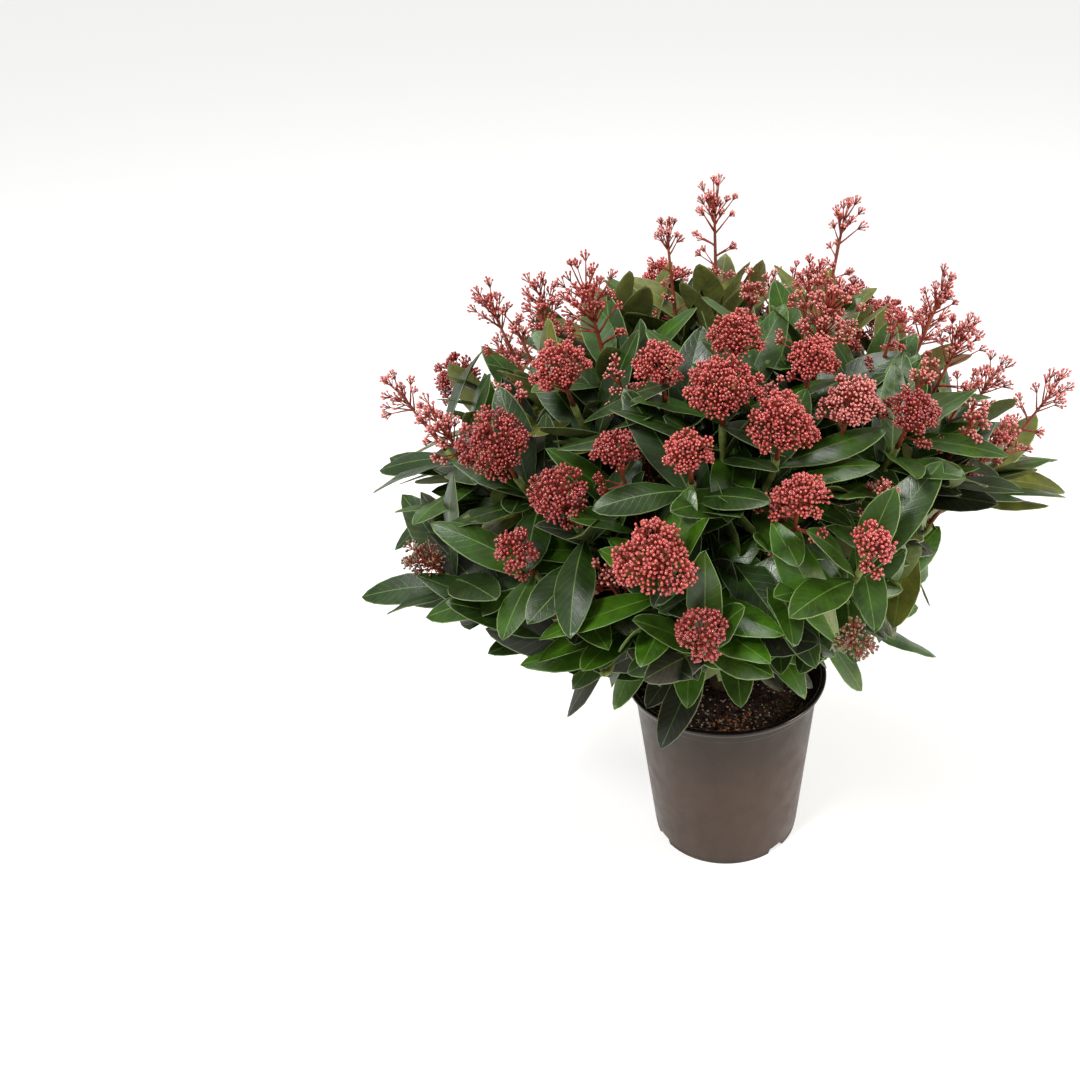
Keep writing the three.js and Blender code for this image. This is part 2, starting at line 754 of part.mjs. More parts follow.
function buildPlant() {
  planShoots();
  const plant = new THREE.Group();
  plant.add(namedMesh("pot", potGeometry(), FINISH.pot));
  plant.add(namedMesh("soil", soilGeometry(), FINISH.soil));
  plant.add(namedMesh("stem", stemGeometry(0), FINISH.bark));
  const stemRoom = solidOf(stemGeometry(GAP));
  for (const mass of MASSES) {
    plant.add(namedMesh(`bough_${mass.name}`, boughGeometry(mass, stemRoom), FINISH.bark));
    plant.add(namedMesh(`mass_${mass.name}`, massGeometry(mass), FINISH.foliage));
  }
  return plant;
}

export default buildPlant();
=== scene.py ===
"""A skimmia in its nursery pot: the looks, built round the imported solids.

The foliage grows by the same rule as the solids and is carried on to finer twigs, leaves, flower
branches and buds. Growth is worked out in millimetres, and meshes are made in metres.
"""

import math
from dataclasses import dataclass, field
from types import SimpleNamespace as Form

import bpy
import numpy as np
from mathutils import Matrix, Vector


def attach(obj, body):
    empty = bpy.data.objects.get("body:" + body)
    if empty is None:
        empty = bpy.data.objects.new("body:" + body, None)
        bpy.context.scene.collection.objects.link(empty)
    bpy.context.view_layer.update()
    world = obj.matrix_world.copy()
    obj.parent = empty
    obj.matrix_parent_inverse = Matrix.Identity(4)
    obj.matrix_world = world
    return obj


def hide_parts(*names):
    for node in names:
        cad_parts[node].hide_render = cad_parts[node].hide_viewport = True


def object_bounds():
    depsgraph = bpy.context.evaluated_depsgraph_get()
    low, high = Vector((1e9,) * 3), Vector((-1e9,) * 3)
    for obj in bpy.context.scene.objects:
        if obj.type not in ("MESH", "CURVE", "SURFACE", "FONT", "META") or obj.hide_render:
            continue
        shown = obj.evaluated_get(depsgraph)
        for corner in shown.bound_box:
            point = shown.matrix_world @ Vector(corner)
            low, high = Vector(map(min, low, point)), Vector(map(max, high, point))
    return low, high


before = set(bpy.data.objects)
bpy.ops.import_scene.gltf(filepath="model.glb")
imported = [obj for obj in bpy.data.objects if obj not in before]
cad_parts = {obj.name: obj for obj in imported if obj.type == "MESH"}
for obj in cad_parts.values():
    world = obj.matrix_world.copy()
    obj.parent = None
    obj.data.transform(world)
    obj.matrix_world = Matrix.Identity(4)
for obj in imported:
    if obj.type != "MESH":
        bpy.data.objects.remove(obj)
CAD_BOX = [list(corner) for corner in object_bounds()]
MM = 0.001
SEED = 7
SKY = np.array([0.0, 0.0, 1.0])
BACK = np.array([0.0, 1.0, 0.0])
STEEP = 0.9  # rise of a direction from which BACK serves as its hint instead of SKY
HASH = (127.1, 311.7, 74.7, 43758.5453)  # factors of the seeded fractions, as the solids have them
RIPPLE_WAVES = 7
RIPPLE_PEAK = 1.6

# ---- Pot and soil, as the solids have them ----
POT_HEIGHT = 165
RIM_RADIUS = 86
RIM_BAND = 6
RIM_THICKNESS = 4.5
RIM_ROUND = 1.6
SHOULDER_RADIUS = 79
BASE_RADIUS = 64
WALL = 2
FLOOR = 4
NOTCH_TURNS = (-136, -60, 44, 134)
NOTCH_WIDTH = 18
NOTCH_HEIGHT = 6.5
NOTCH_DEPTH = 3.6
FOOT_BAND = 5.5  # height of the inset band round the foot
SOIL_TOP = 152
SOIL_EDGE_DROP = 4

POT_SIDES = 180
PAINTED_SHADE_HEIGHTS = (90, 156)  # between which painted shade darkens the wall's colour towards the rim
LIP_FINISH = 8.5  # height of the glossy band at the top, whose dark colour is painted shade
PROFILE_STEP = 9  # longest stretch of the pot's section without a ring of points
SHARP_EDGE = 40  # degrees between faces, from which an edge of the pot isn't smoothed
CORNER_STEPS = 5  # points on a rounded corner
BAND_FOOT = POT_HEIGHT - RIM_BAND
RECESS = BASE_RADIUS - NOTCH_DEPTH
# The pot's section, from the middle of its underside round the rim to the middle of its floor: radius
# and height of each corner, and how far it is rounded.
POT_SECTION = (
    ((0, 0), 0),
    ((RECESS, 0), 0),
    ((RECESS + 0.05, 0), 0),
    ((BASE_RADIUS - 0.3, 0), 0.8),
    ((BASE_RADIUS - 0.1, FOOT_BAND), 0.2),
    ((BASE_RADIUS + 0.6, FOOT_BAND + 0.6), 0.3),
    ((BASE_RADIUS + 0.7, NOTCH_HEIGHT + 0.6), 0.2),
    ((SHOULDER_RADIUS - 0.5, BAND_FOOT - 9), 0.6),
    ((SHOULDER_RADIUS + 0.2, BAND_FOOT - 8.2), 0.4),
    ((SHOULDER_RADIUS + 1, BAND_FOOT), 1.0),
    ((RIM_RADIUS - 1.4, BAND_FOOT + 0.6), 1.4),
    ((RIM_RADIUS, POT_HEIGHT - 2.6), 0.8),
    ((RIM_RADIUS, POT_HEIGHT), RIM_ROUND),
    ((RIM_RADIUS - RIM_THICKNESS, POT_HEIGHT), RIM_ROUND),
    ((SHOULDER_RADIUS - WALL, BAND_FOOT - RIM_THICKNESS), 2),
    ((BASE_RADIUS - WALL, FLOOR), 2),
    ((0, FLOOR), 0),
)
SOIL_SEED = 5
SOIL_LUMPS = (9, 17, 34)  # wavelengths of its lumps
LUMP_HEIGHT = 1.3
SOIL_SINK = 1.0  # of its whole surface
SOIL_SIDES = 120
SOIL_RINGS = 44
SOIL_MARGIN = 0.4  # between the soil and the pot's wall
STEM_CLEAR = 16  # distance from the pot's axis that the grains on the soil keep
EDGE_CLEAR = 3  # and from the pot's wall
GRAIN_TILT = 0.45
GRAIN_WIDTHS = (0.25, 0.85)  # in lengths
GRAIN_RISE = 0.25
GRAIN_JITTER = 0.13

# ---- Stem, boughs and crown, as the solids have them ----
GAP = 0.3
STEM_FOOT = SOIL_TOP + GAP
STEM_TIP = np.array([-1.0, 4.0, 266.0])
STEM_RADII = (10.5, 4.2)
ROOT_FLARE = 4
FLARE_SHARE = 0.1
BOUGH_RADII = (4, 2.9)
BOUGH_BEND = 30
HEART = np.array([0.0, 0.0, 200.0])
LIMB_REACH = 110
MASS_STEM_RADII = (3.5, 2.6)
TWIG_RADII = (2.8, 2.3)
STALK_RADII = (1.9, 0.9)
STRAIGHT_START = 6
FORK_AT = (0.5, 0.85)
TWIG_BEND = 0.35
TWIG_UPTURN = 0.35
MASS_STEM_STRETCHES = 3
TWIG_STRETCHES = 2
FINE_STEPS = 14  # stretches in a drawn twig
TWIG_SIDES = 8
TWIG_KNOTS = 0.09  # swelling where leaves sit
BARK_STRETCH = np.array([1, 1, 0.3])
BARK_WAVES = (3.5, 6, 11)
BOUGH_RINGS = 9  # low rings along a bough, where leaves once sat
BOUGH_RING_HEIGHT = 0.1
BOUGH_COLLAR = 1.05  # a bough's first radius, in that of the solids
BOUGH_CURVE = 0.3
BOUGH_STEPS = 36
BOUGH_SIDES = 12
BOUGH_RELIEF = 0.06
STEM_RINGS = 60
STEM_SIDES = 30
STEM_RELIEF = 0.05

# ---- Leaves: the rule, as the solids have it ----
LEAF_LENGTH = 94
LEAF_WIDTH = 30
LEAF_SIZES = (0.82, 1.1)
LEAF_WIDEST = 0.56
LEAF_ROOT = 1.5
UPRIGHT_SPREAD = (30, 68)  # on a shoot that leans UPRIGHT_LEAN[0] or less
LEAF_SPREAD = (50, 88)  # on a shoot that leans UPRIGHT_LEAN[1] or more
UPRIGHT_LEAN = (14, 46)
LEAF_SPREAD_JITTER = 9
LEAF_DROOP = (0.1, 0.3)
LEAF_FACE_UP = 0.55
LEAF_SPACING = 8.5
LEAVES_UNDER_HEAD = 7
LEAVES_ON_LEAFY = 7
FEWEST_LEAVES = 2
LEAF_TRIES = ((1, 1), (0.92, 0.75), (0.84, 1), (0.8, 0.5), (0.7, 0.8), (0.7, 0.45))
RIB_SHARES = np.array([0.3, 0.5, 0.75, 1])
GOLDEN_TURN = 137.5

# ---- Leaves that hang low in front and over the rim. Of the root: turn, distance from the axis and
# height. Then the turn in which the leaf points, its pitch below level, its length and its green ----
HANGING = (
    (-24, 42, 216, -24, 27, 90, "old"),
    (-77, 92, 213, -63, 48, 80, "old"),
    (50, 16, 210, 60, 46, 62, "old"),
    (63, 34, 205, 77, 36, 58, "old"),
    (-42, 38, 216, -38, 26, 68, "old"),
    (150, 60, 212, 150, 38, 80, "old"),
    (-140, 60, 214, -140, 40, 78, "old"),
    (95, 72, 215, 75, 52, 84, "fresh"),
    (90, 100, 216, 88, 20, 86, "fresh"),
    (-30, 104, 288, -34, 44, 80, "fresh"),
    (-14, 98, 292, -8, 36, 74, "fresh"),
    (-40, 92, 284, -52, 30, 88, "mid"),
    (2, 84, 286, 8, 30, 78, "mid"),
    (16, 78, 280, 34, 28, 80, "fresh"),
    (0, 60, 270, 20, 40, 56, "deep"),
)
HANGING_TWIG = 1.3  # radius of the short twig that carries each of them
HANGING_FORK = 0.3  # share of the stem's height at which it leaves
HANGING_DROOP = 0.08
HANGING_STEPS = 10
HANGING_SIDES = 6
HANGING_RISE = 20  # by which its twig sets off above a straight line

# ---- The crown's outline, as the solids have it ----
# No leaf hangs below the skirt, which is lifted on the side on which the soil lies open.
SKIRT_FOOT = (174, 212)  # its height over the pot's rim, and that on the open side
OPEN_TURN = 14
OPEN_SHARE = 2  # power of the share to which a point lies on the open side
SKIRT_RISE = (0.28, 0.85)  # outwards from the rim: at the back and sides, and in front
SKIRT_FRONT = 0.4  # power of the share to which a point lies in front
# Under the longest bough the crown is hollow: leaves that lie lower than it keep nearer the stem.
HOLLOW_TURN = 98
HOLLOW_WIDTH = 50  # degrees to each side
HOLLOW_TOP = 328  # beside the stem
HOLLOW_SLOPE = 0.6  # by which its top rises towards the front
HOLLOW_REACH = 168
HOLLOW_EASE = 3  # added to that reach for each degree past the hollow's width
LEAF_REACH = 316  # of leaves from the heart: only the flower heads stand out further

DRAW = {"turn": 1, "spread": 2, "size": 3, "droop": 4, "head": 5, "fork": 6, "inner": 7, "green": 8,
        "buds": 9, "shape": 10}
# Shoots beyond the solids' own are numbered on from these, for their seeded fractions.
FIRST_NUMBER = {"inner": 100, "small": 200, "young": 290, "hanging": 300}

# ---- Leaves: what is finer than in the solids ----
LEAF_ROOM = 8.2  # kept free round a leaf's midrib
HEAD_ROOM = 1.1  # kept free round a flower head, from its middle, squared
TWIG_BARE = 4  # lowest part of a twig, without leaves
LEAF_TRAITS = 6
TRAIT_STEP = 0.37
BETWEEN_SPREAD = 0.68  # leaves between those of the solids stand closer to their twig
OLD_LEAVES = 5  # further down a twig than the solids' leaves
OLD_SPACING = 1.5  # in steps of LEAF_SPACING
OLD_BELOW = 300  # height of the shoot up to which its oldest leaves take the dull old green: partly real age, partly painted shade inside the crown
AIRY_LEAN = 56  # of leafy shoots that have no leaves between those of the solids
WIDEST_SPREAD = 104
REACH_MARGIN = 2  # that a leaf may stand out of the solids' box
INNER_TWIGS = 3  # in each mass
INNER_REACH = (172, 226)
INNER_SIDEWAYS = 0.45
LEAF_ROWS = np.array([0, 0.06, 0.16, 0.3, 0.45, 0.6, 0.74, 0.86, 0.95, 1])
LEAF_THICKNESS = 0.5
RIB_DEPTH = 0.6
MARGIN_WIDTH = 0.65
RIB_WIDTH = 0.6
RIB_TAPER = 0.6
RIB_DEPTH_TAPER = 0.7
EDGE_SHARE = 0.3  # most of half the width that the margin or the midrib takes
PETIOLE_WIDTH = 1.3
TIP_WIDTH = 0.3
BASE_TAPER = 1.1
TIP_TAPER = 0.62
FOLD = (0.1, 0.42)
CAMBER = (0.16, 0.42)
MARGIN_WAVES = (1.2, 2.6)
WAVE_HEIGHT = 0.09
TWIST = 0.9
SIDE_BEND = 0.16
VEIN_PAIRS = 13
VEIN_SLANT = 2.1
VEIN_THINNESS = 7

# ---- Small heads that stand between the solids' own ----
SMALL_HEAD_TRIES = 3  # in each mass
SMALL_HEADS = (24, 36)  # widths
SMALL_HEAD_SIDEWAYS = 0.5
SMALL_HEAD_REACH = (0.88, 0.96)
SMALL_HEAD_ROOM = -4
SMALL_HEAD_LEAN = 56
SMALL_TALL_FROM = 0.85  # rise of a mass's direction from which they are tall
# A yellow-green head that hasn't coloured yet: its mass, turn, lean, reach and width.
YOUNG_HEAD = ("low_left", -70, 72, 186, 24)

# ---- Flower heads. The first six values of each are the solids' ----
# stalk: its length. height, above: shares of the head's width. share of the form that bears
# clusters, from its top down. room: between clusters. gaps: share of them left out. cluster: their
# radius. foot: how far under its centre a cluster's stalks part, in radii. buds: in each cluster.
# bud: width of one. uneven: how far out the clusters stand. sides: sprays down the stalk.
HEADS = {
    "dome": Form(stalk=32, height=0.85, above=0.42, rings=(0.78, 1, 0.62), lobes=3, cleft=0.74,
                 cover=0.56, room=11.5, gaps=0.04, cluster=5.2, foot=0.9, buds=12, bud=2.45,
                 uneven=(0.8, 1.08), sides=3),
    "perched": Form(stalk=84, height=0.95, above=0.42, rings=(0.78, 1, 0.5), lobes=3, cleft=0.85,
                    cover=0.52, room=11, gaps=0.08, cluster=5.2, foot=0.9, buds=12, bud=2.45,
                    uneven=(0.7, 1.1), sides=4),
    "loose": Form(stalk=56, height=1.3, above=0.55, rings=(0.75, 1, 0.6), lobes=4, cleft=0.4,
                  cover=0.5, room=15.5, gaps=0.12, cluster=4.2, foot=1.3, buds=7, bud=2.35,
                  uneven=(0.62, 1.14), sides=3),
    "tall": Form(stalk=88, height=1.9, above=0.6, rings=(0.95, 0.35, 1), lobes=3, cleft=0.3,
                 cover=0.3, room=14.5, gaps=0.08, cluster=4.0, foot=1.3, buds=7, bud=2.35,
                 uneven=(0.66, 1.14), sides=6),
    "dry": Form(stalk=20, height=0.85, above=0.42, rings=(0.8, 1, 0.6), lobes=3, cleft=0.6,
                cover=0.7, room=12.5, gaps=0.1, cluster=5.8, foot=0.5, buds=11, bud=2.3,
                uneven=(0.75, 1.06), sides=1),
    "young": Form(stalk=18, height=0.9, above=0.45, rings=(0.8, 1, 0.6), lobes=3, cleft=0.6,
                  cover=0.8, room=10, gaps=0.1, cluster=4, foot=0.9, buds=8, bud=1.9,
                  uneven=(0.7, 1.1), sides=3),
}
# The heads high in the crown have finer buds and clusters: heights of the tip, and the share at each.
FINE_HEIGHTS = (390, 480)
FINE_SHARES = (1, 0.8)
CLUSTER_SIZES = (0.66, 1.2)
CLUSTER_COVER = 1.2  # share of a cluster's height that bears buds, in radii from its top
BUD_LENGTH = 1.12  # in widths
BUD_JITTER = 0.16
PEDICEL_RADIUS = 0.38
SPRAY_RADII = (0.8, 0.45)
SIDE_SPRAY_REACH = (0.3, 0.56)  # shares of the head's width
SIDE_SPRAYS_AT = (0.3, 0.86)  # shares of the stalk, down from the head
SPRAY_WIDTH = 30  # least width of a head for the reach of its side sprays
SPRAY_BEND = 0.3
SPRAY_SIDES = 4
STALK_SIDES = 7
STALK_RINGS = 7
STALK_INTO = 0.12  # how far a stalk reaches into its head, in widths
CLUSTER_SINK = 0.8  # how far a cluster's middle stands inside the head's form, in its radii
CLUSTER_LEAST = 0.5
SPRAY_DOWN = 0.6  # share of the stalk down which a spray may leave it
SPRAY_UP = 0.1  # and how far up into the head, in widths
SPRAY_SLOPE = 0.9
SPRAY_DROP = 3
SIDE_CLUSTER = 0.85  # radius of a side spray's clusters, in that of the head's
SIDE_RISE = 0.6
SIDE_STAGGER = 0.5
HEAD_FOOT = 0.3  # depth under the tip of the point from which clusters face out, in widths
HEAD_STEPS = 60
FEWEST_CLUSTERS = 4
RING_STEPS = np.array([0.25, 0.5, 0.75])  # shares of a head's height at which its three rings stand
BUD_REACH = (0.8, 1.1)
# The colour of a head's buds: the first whose number is over the head's own seeded fraction.
LOOSE_SHARES = ((0.55, "rose"), (1, "red"))
DOME_SHARES = ((0.45, "red"), (0.7, "rose"), (1, "crimson"))
BUD_SHARES = {
    "dome": DOME_SHARES,
    "perched": DOME_SHARES,
    "loose": LOOSE_SHARES,
    "tall": LOOSE_SHARES,
    "dry": ((1, "dry"),),
    "young": ((1, "green"),),
}

# ---- The plant's plan, as the solids have it ----
# For each mass its bough's height on the stem, its shoots' greens, and the shoots: turn, lean and
# reach, and then width and kind of the flower head where a shoot bears one.
MASSES = {
    "top": (264, "olive mid bronze olive", (
        (-174, 14, 348, 44, "tall"), (-152, 17, 331, 35, "tall"), (176, 36, 290, 44, "dome"),
        (-125, 24, 268),
    )),
    "top_right": (241, "mid olive deep mid", (
        (72, 11, 329, 35, "loose"), (129, 19, 350, 37, "tall"), (46, 17, 325, 65, "loose"),
        (143, 36, 300, 46, "dome"),
    )),
    "top_left": (239, "mid olive deep", (
        (-74, 18, 326, 58, "loose"), (-82, 28, 322, 30, "loose"), (-50, 27, 321, 44, "dome"),
    )),
    "top_front": (228, "deep mid deep mid", (
        (-1, 25, 320, 53, "dome"), (4, 17, 324, 39, "dome"), (-21, 22, 321, 37, "dome"),
        (28, 22, 322, 39, "dome"),
    )),
    "high_right": (224, "deep olive mid bronze", (
        (84, 32, 318, 49, "tall"), (106, 31, 329, 39, "tall"), (70, 23, 322, 28, "loose"),
        (124, 40, 316, 49, "loose"),
    )),
    "front": (216, "deep mid mid", (
        (-8, 33, 314, 35, "dome"), (13, 30, 316, 49, "dome"), (14, 39, 313, 37, "perched"),
    )),
    "high_left": (222, "mid deep olive", (
        (-104, 34, 327, 42, "tall"), (-128, 37, 318, 51, "loose"), (-112, 23, 300, 39, "loose"),
    )),
    "front_right": (206, "mid deep mid deep", (
        (46, 33, 316, 39, "dome"), (32, 29, 318, 44, "dome"), (57, 30, 319, 30, "loose"),
        (64, 38, 313, 32, "loose"),
    )),
    "front_left": (199, "deep mid mid", (
        (-32, 41, 306, 44, "dome"), (-24, 34, 313, 32, "perched"), (-38, 49, 298, 30, "dome"),
    )),
    "left": (211, "deep mid olive", (
        (-52, 39, 311, 56, "dome"), (-77, 44, 306, 53, "loose"), (-66, 33, 300, 30, "loose"),
    )),
    "back": (211, "mid deep mid deep fresh mid", (
        (180, 46, 308, 51, "dome"), (163, 40, 312, 44, "loose"), (-163, 38, 314, 46, "dome"),
        (178, 60, 290, 35, "dome"), (168, 74, 215), (-170, 76, 212),
    )),
    "far_right": (196, "olive mid bronze deep", (
        (91, 48, 330, 42, "tall"), (112, 50, 308, 46, "loose"), (84, 48, 192), (108, 52, 186),
    )),
    "low_front": (188, "fresh mid fresh fresh mid fresh", (
        (-12, 46, 299, 56, "dome"), (-4, 54, 288, 37, "dome"), (-22, 58, 205), (4, 57, 198),
        (16, 44, 150), (-16, 42, 142),
    )),
    "far_left": (197, "deep olive old deep", (
        (-91, 48, 332, 39, "loose"), (-110, 49, 310, 42, "dome"), (-92, 62, 202), (-112, 66, 196),
    )),
    "back_right": (186, "mid deep mid fresh mid", (
        (142, 46, 306, 49, "dome"), (130, 58, 292, 42, "loose"), (152, 60, 288, 35, "dome"),
        (126, 66, 168), (150, 74, 188),
    )),
    "low_right": (178, "mid fresh fresh fresh mid fresh", (
        (26, 46, 302, 30, "dome"), (20, 56, 284, 28, "dry"), (44, 54, 194), (60, 56, 176), (30, 48, 158),
        (58, 66, 150),
    )),
    "low_left": (176, "deep deep old deep mid old", (
        (-60, 58, 288, 32, "dry"), (-46, 62, 208), (-70, 66, 202), (-84, 76, 190), (-58, 70, 186),
        (-42, 60, 150),
    )),
    "back_left": (185, "deep mid deep mid fresh", (
        (-140, 50, 302, 49, "dome"), (-126, 56, 292, 39, "loose"), (-154, 58, 290, 37, "dome"),
        (-132, 72, 216), (-152, 75, 210),
    )),
}

# ---- Colours, sRGB from 0 to 255 ----
GREENS = {
    "fresh": (54, 92, 10),
    "mid": (44, 73, 12),
    "deep": (32, 54, 14),
    "olive": (86, 90, 26),
    "bronze": (96, 70, 32),
    "old": (30, 35, 20),
}
LEAF_ROUGHNESS = {"plain": 0.33, "old": 0.55, "bronze": 0.42, "olive": 0.4}
LEAF_SHEEN = 0.5  # how strongly a leaf mirrors its surroundings, of at most 1
UNDERSIDE = (112, 118, 62)
MIDRIB = (120, 150, 78)
MARGIN = (176, 196, 142)
BUDS = {
    "red": (196, 86, 80),
    "rose": (216, 126, 118),
    "crimson": (162, 60, 56),
    "dry": (112, 80, 50),
    "green": (150, 152, 74),
}
FLOWER_BRANCH = (142, 52, 38)
STALK = (122, 56, 32)
YOUNG_TWIG = (104, 116, 52)
OLD_TWIG = (92, 80, 50)
BARK = (96, 78, 54)
BARK_CRACKS = (48, 38, 28)
POT_FINISHES = (  # name, colour and roughness
    ("pot_wall", (58, 42, 33), 0.4),
    # painted shade: the rim is the wall's plastic, coloured darker for the shade it casts on itself
    ("pot_rim", (17, 13, 15), 0.2),
    ("pot_foot", (54, 42, 39), 0.5),
)
POT_PAINTED_SHADE = (20, 14, 14)  # painted shade of the wall's upper part, under the rim
POT_DUST = (126, 100, 72)
POT_SHEEN = (255, 238, 222)  # of the light that the plastic throws back
SOIL = (50, 28, 23)
SOIL_FLECKS = (84, 58, 40)
# What lies on the soil: name, colour, roughness, number, sizes and flatness, and the middle and spread of a
# kind that lies in one patch.
GRAINS = (
    ("perlite", (206, 192, 168), 0.7, 620, (0.4, 1.6), 0.75),
    ("bark_chips", (140, 88, 52), 0.85, 330, (0.7, 2.6), 0.3),
    ("peat_crumbs", (52, 34, 24), 0.95, 900, (0.8, 2.6), 0.8),
    ("moss", (104, 98, 56), 0.95, 150, (0.5, 1.4), 1.0, (50, -28), 10),
    ("fibres", (168, 104, 60), 0.9, 110, (0.6, 2.2), 0.5, (7, -58), 9),
)
FLOOR_COLOUR = (200, 200, 198)
FLOOR_GLOW = 0.62
FLOOR_SIZE = 24.0  # metres
SKY_STRENGTH = 0.42
WHITE = (255, 255, 255)
WARM = (255, 222, 190)
# Each light's place and target in metres, width, power and colour.
LIGHTS = (
    ("top", (-0.3, 0.4, 2.1), (0, 0, 0.35), 1.2, 26, WHITE),
    ("key", (-0.8, -1.2, 1.9), (0, 0, 0.3), 0.45, 26, WHITE),
    ("right", (1.8, -0.3, 1.2), (0, 0, 0.3), 0.9, 18, WHITE),
    ("low_left", (-1.2, -0.35, 0.25), (0, 0, 0.1), 0.4, 2.4, WARM),
    ("low_right", (1.2, -0.35, 0.25), (0, 0, 0.1), 0.4, 4.6, WARM),
)

# ---- Camera: the photograph's view ----
PHOTO_SIZE = 1080
FOCAL_PIXELS = 1300
AXIS_PIXEL = 726  # column of the photograph in which the pot's axis stands
EYE = (0, -895, 837)
PITCH_DOWN = 31.2
SENSOR = 36
CLIP = (0.05, 50)


# ---- Small tools ----

def unit(vector):
    return vector / np.linalg.norm(vector)


def units(vectors):
    return vectors / np.linalg.norm(vectors, axis=-1, keepdims=True)


def between(ends, share):
    return ends[0] + (ends[1] - ends[0]) * share


def mixed(first, second, share):
    """The colour that lies a share of the way from the first to the second."""
    return tuple(between(pair, share) for pair in zip(first, second))


def seeded(number, draw, index=None):
    """A repeatable fraction from 0 to 1 for a shoot's number, one of its draws and a leaf."""
    index = draw if index is None else index
    wave = math.sin(number * HASH[0] + index * HASH[1] + draw * HASH[2]) * HASH[3]
    return wave - math.floor(wave)


def direction(turn, lean):
    turn, lean = math.radians(turn), math.radians(lean)
    out = math.sin(lean)
    return np.array([out * math.sin(turn), -out * math.cos(turn), math.cos(lean)])


def square_to(axis, way):
    return unit(way - axis * (way @ axis))


def sideways(axis):
    first = square_to(axis, SKY if abs(axis[2]) < STEEP else BACK)
    return first, np.cross(axis, first)


def around(axis, turn):
    """The way square to an axis at a turn round it, in radians."""
    first, second = sideways(axis)
    return first * math.cos(turn) + second * math.sin(turn)


def full_turn(sides):
    return 2 * math.pi * np.arange(sides) / sides


def bezier(start, way_out, end, way_in, bend, steps):
    """A smooth path that leaves its start and reaches its end in the given directions."""
    room = bend * np.linalg.norm(end - start)
    s = np.linspace(0, 1, steps + 1)[:, None]
    corners = (start, start + way_out * room, end - way_in * room, end)
    weights = ((1 - s) ** 3, 3 * s * (1 - s) ** 2, 3 * s**2 * (1 - s), s**3)
    return sum(weight * corner for weight, corner in zip(weights, corners))


def back_along(points, distance):
    """The point at a distance back from a path's end, with the path's direction there."""
    for i in range(len(points) - 1, 0, -1):
        step = points[i] - points[i - 1]
        stretch = np.linalg.norm(step)
        if distance <= stretch or i == 1:
            break
        distance -= stretch
    return points[i] - step / stretch * distance, step / stretch


def path_length(points):
    return float(np.linalg.norm(np.diff(points, axis=0), axis=1).sum())


def ripple(rng, points, wavelengths):
    """Smooth seeded unevenness from about -1 to 1 at points, made of waves in many directions."""
    total = np.zeros(len(points))
    for wavelength in wavelengths:
        for _ in range(RIPPLE_WAVES):
            way = unit(rng.normal(size=3))
            phase = rng.uniform(0, 2 * math.pi)
            total += np.sin(points @ way * 2 * math.pi / wavelength + phase)
    return total / math.sqrt(RIPPLE_WAVES * len(wavelengths)) / RIPPLE_PEAK


# ---- Mesh building ----

class Piece:
    """Many small shapes gathered into one mesh. A face has 4 corners, the last -1 in a triangle."""

    def __init__(self, name, finishes, smooth=True):
        self.name, self.finishes, self.smooth = name, finishes, smooth
        self.points, self.faces, self.picks, self.places = [], [], [], []
        self.count = 0

    def add(self, points, faces, pick=0, places=None):
        """Adds a shape, with its pick among the finishes for all its faces or for each."""
        self.points.append(points)
        self.faces.append(np.where(faces < 0, -1, faces + self.count))
        self.picks.append(np.broadcast_to(pick, len(faces)))
        self.places.append(np.zeros((len(points), 2)) if places is None else places)
        self.count += len(points)

    def build(self, slot, nodes):
        faces = np.concatenate(self.faces)
        sides = np.where(faces[:, 3] < 0, 3, 4)
        corners = faces[faces >= 0]
        mesh = bpy.data.meshes.new(self.name)
        mesh.vertices.add(self.count)
        mesh.loops.add(len(corners))
        mesh.polygons.add(len(faces))
        for owner, trait, values in (
            (mesh.vertices, "co", np.float32(np.concatenate(self.points) * MM)),
            (mesh.loops, "vertex_index", np.int32(corners)),
            (mesh.polygons, "loop_start", np.int32(np.cumsum(sides) - sides)),
            (mesh.polygons, "material_index", np.int32(np.concatenate(self.picks))),
            (mesh.polygons, "use_smooth", np.full(len(faces), self.smooth)),
        ):
            owner.foreach_set(trait, values.ravel())
        layer = mesh.uv_layers.new(name="place")
        layer.uv.foreach_set("vector", np.float32(np.concatenate(self.places)[corners]).ravel())
        for finish in self.finishes:
            mesh.materials.append(finish.material)
        mesh.update(calc_edges=True)
        mesh.validate()
        piece = bpy.data.objects.new(self.name, mesh)
        bpy.context.scene.collection.objects.link(piece)
        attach(piece, "root")
        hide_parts(*nodes)
        return piece


def ring_faces(rings, sides):
    """Quads between neighbouring closed rings of points."""
    ring, side = (index.ravel() for index in np.indices((rings - 1, sides)))
    after = (side + 1) % sides
    low, high = ring * sides, (ring + 1) * sides
    return np.stack([low + side, low + after, high + after, high + side], axis=1)


def closed_rings(rings, sides, downwards=False):
    """Quads between rings that rise or go down, and fans that close both ends to two more points."""
    body = ring_faces(rings, sides)
    side = np.arange(sides)
    after = (side + 1) % sides
    if downwards:
        body, side, after = body[:, ::-1], after, side
    last, count = (rings - 1) * sides, rings * sides
    none = np.full(sides, -1)
    first_fan = np.stack([after, side, np.full(sides, count), none], axis=1)
    last_fan = np.stack([last + side, last + after, np.full(sides, count + 1), none], axis=1)
    return np.concatenate([body, first_fan, last_fan])


def tube(path, radii, sides):
    """A closed round limb along a path, with one radius or one for each of the path's points."""
    ways = units(np.gradient(path, axis=0))
    across = [sideways(ways[0])[0]]
    for way in ways[1:]:
        across.append(square_to(way, across[-1]))
    across = np.array(across)
    over = np.cross(ways, across)
    cos, sin = (wave(full_turn(sides))[:, None] for wave in (np.cos, np.sin))
    ring = across[:, None] * cos + over[:, None] * sin
    body = (path[:, None] + ring * np.reshape(radii, (-1, 1, 1))).reshape(-1, 3)
    return np.concatenate([body, path[:1], path[-1:]]), closed_rings(len(path), sides)


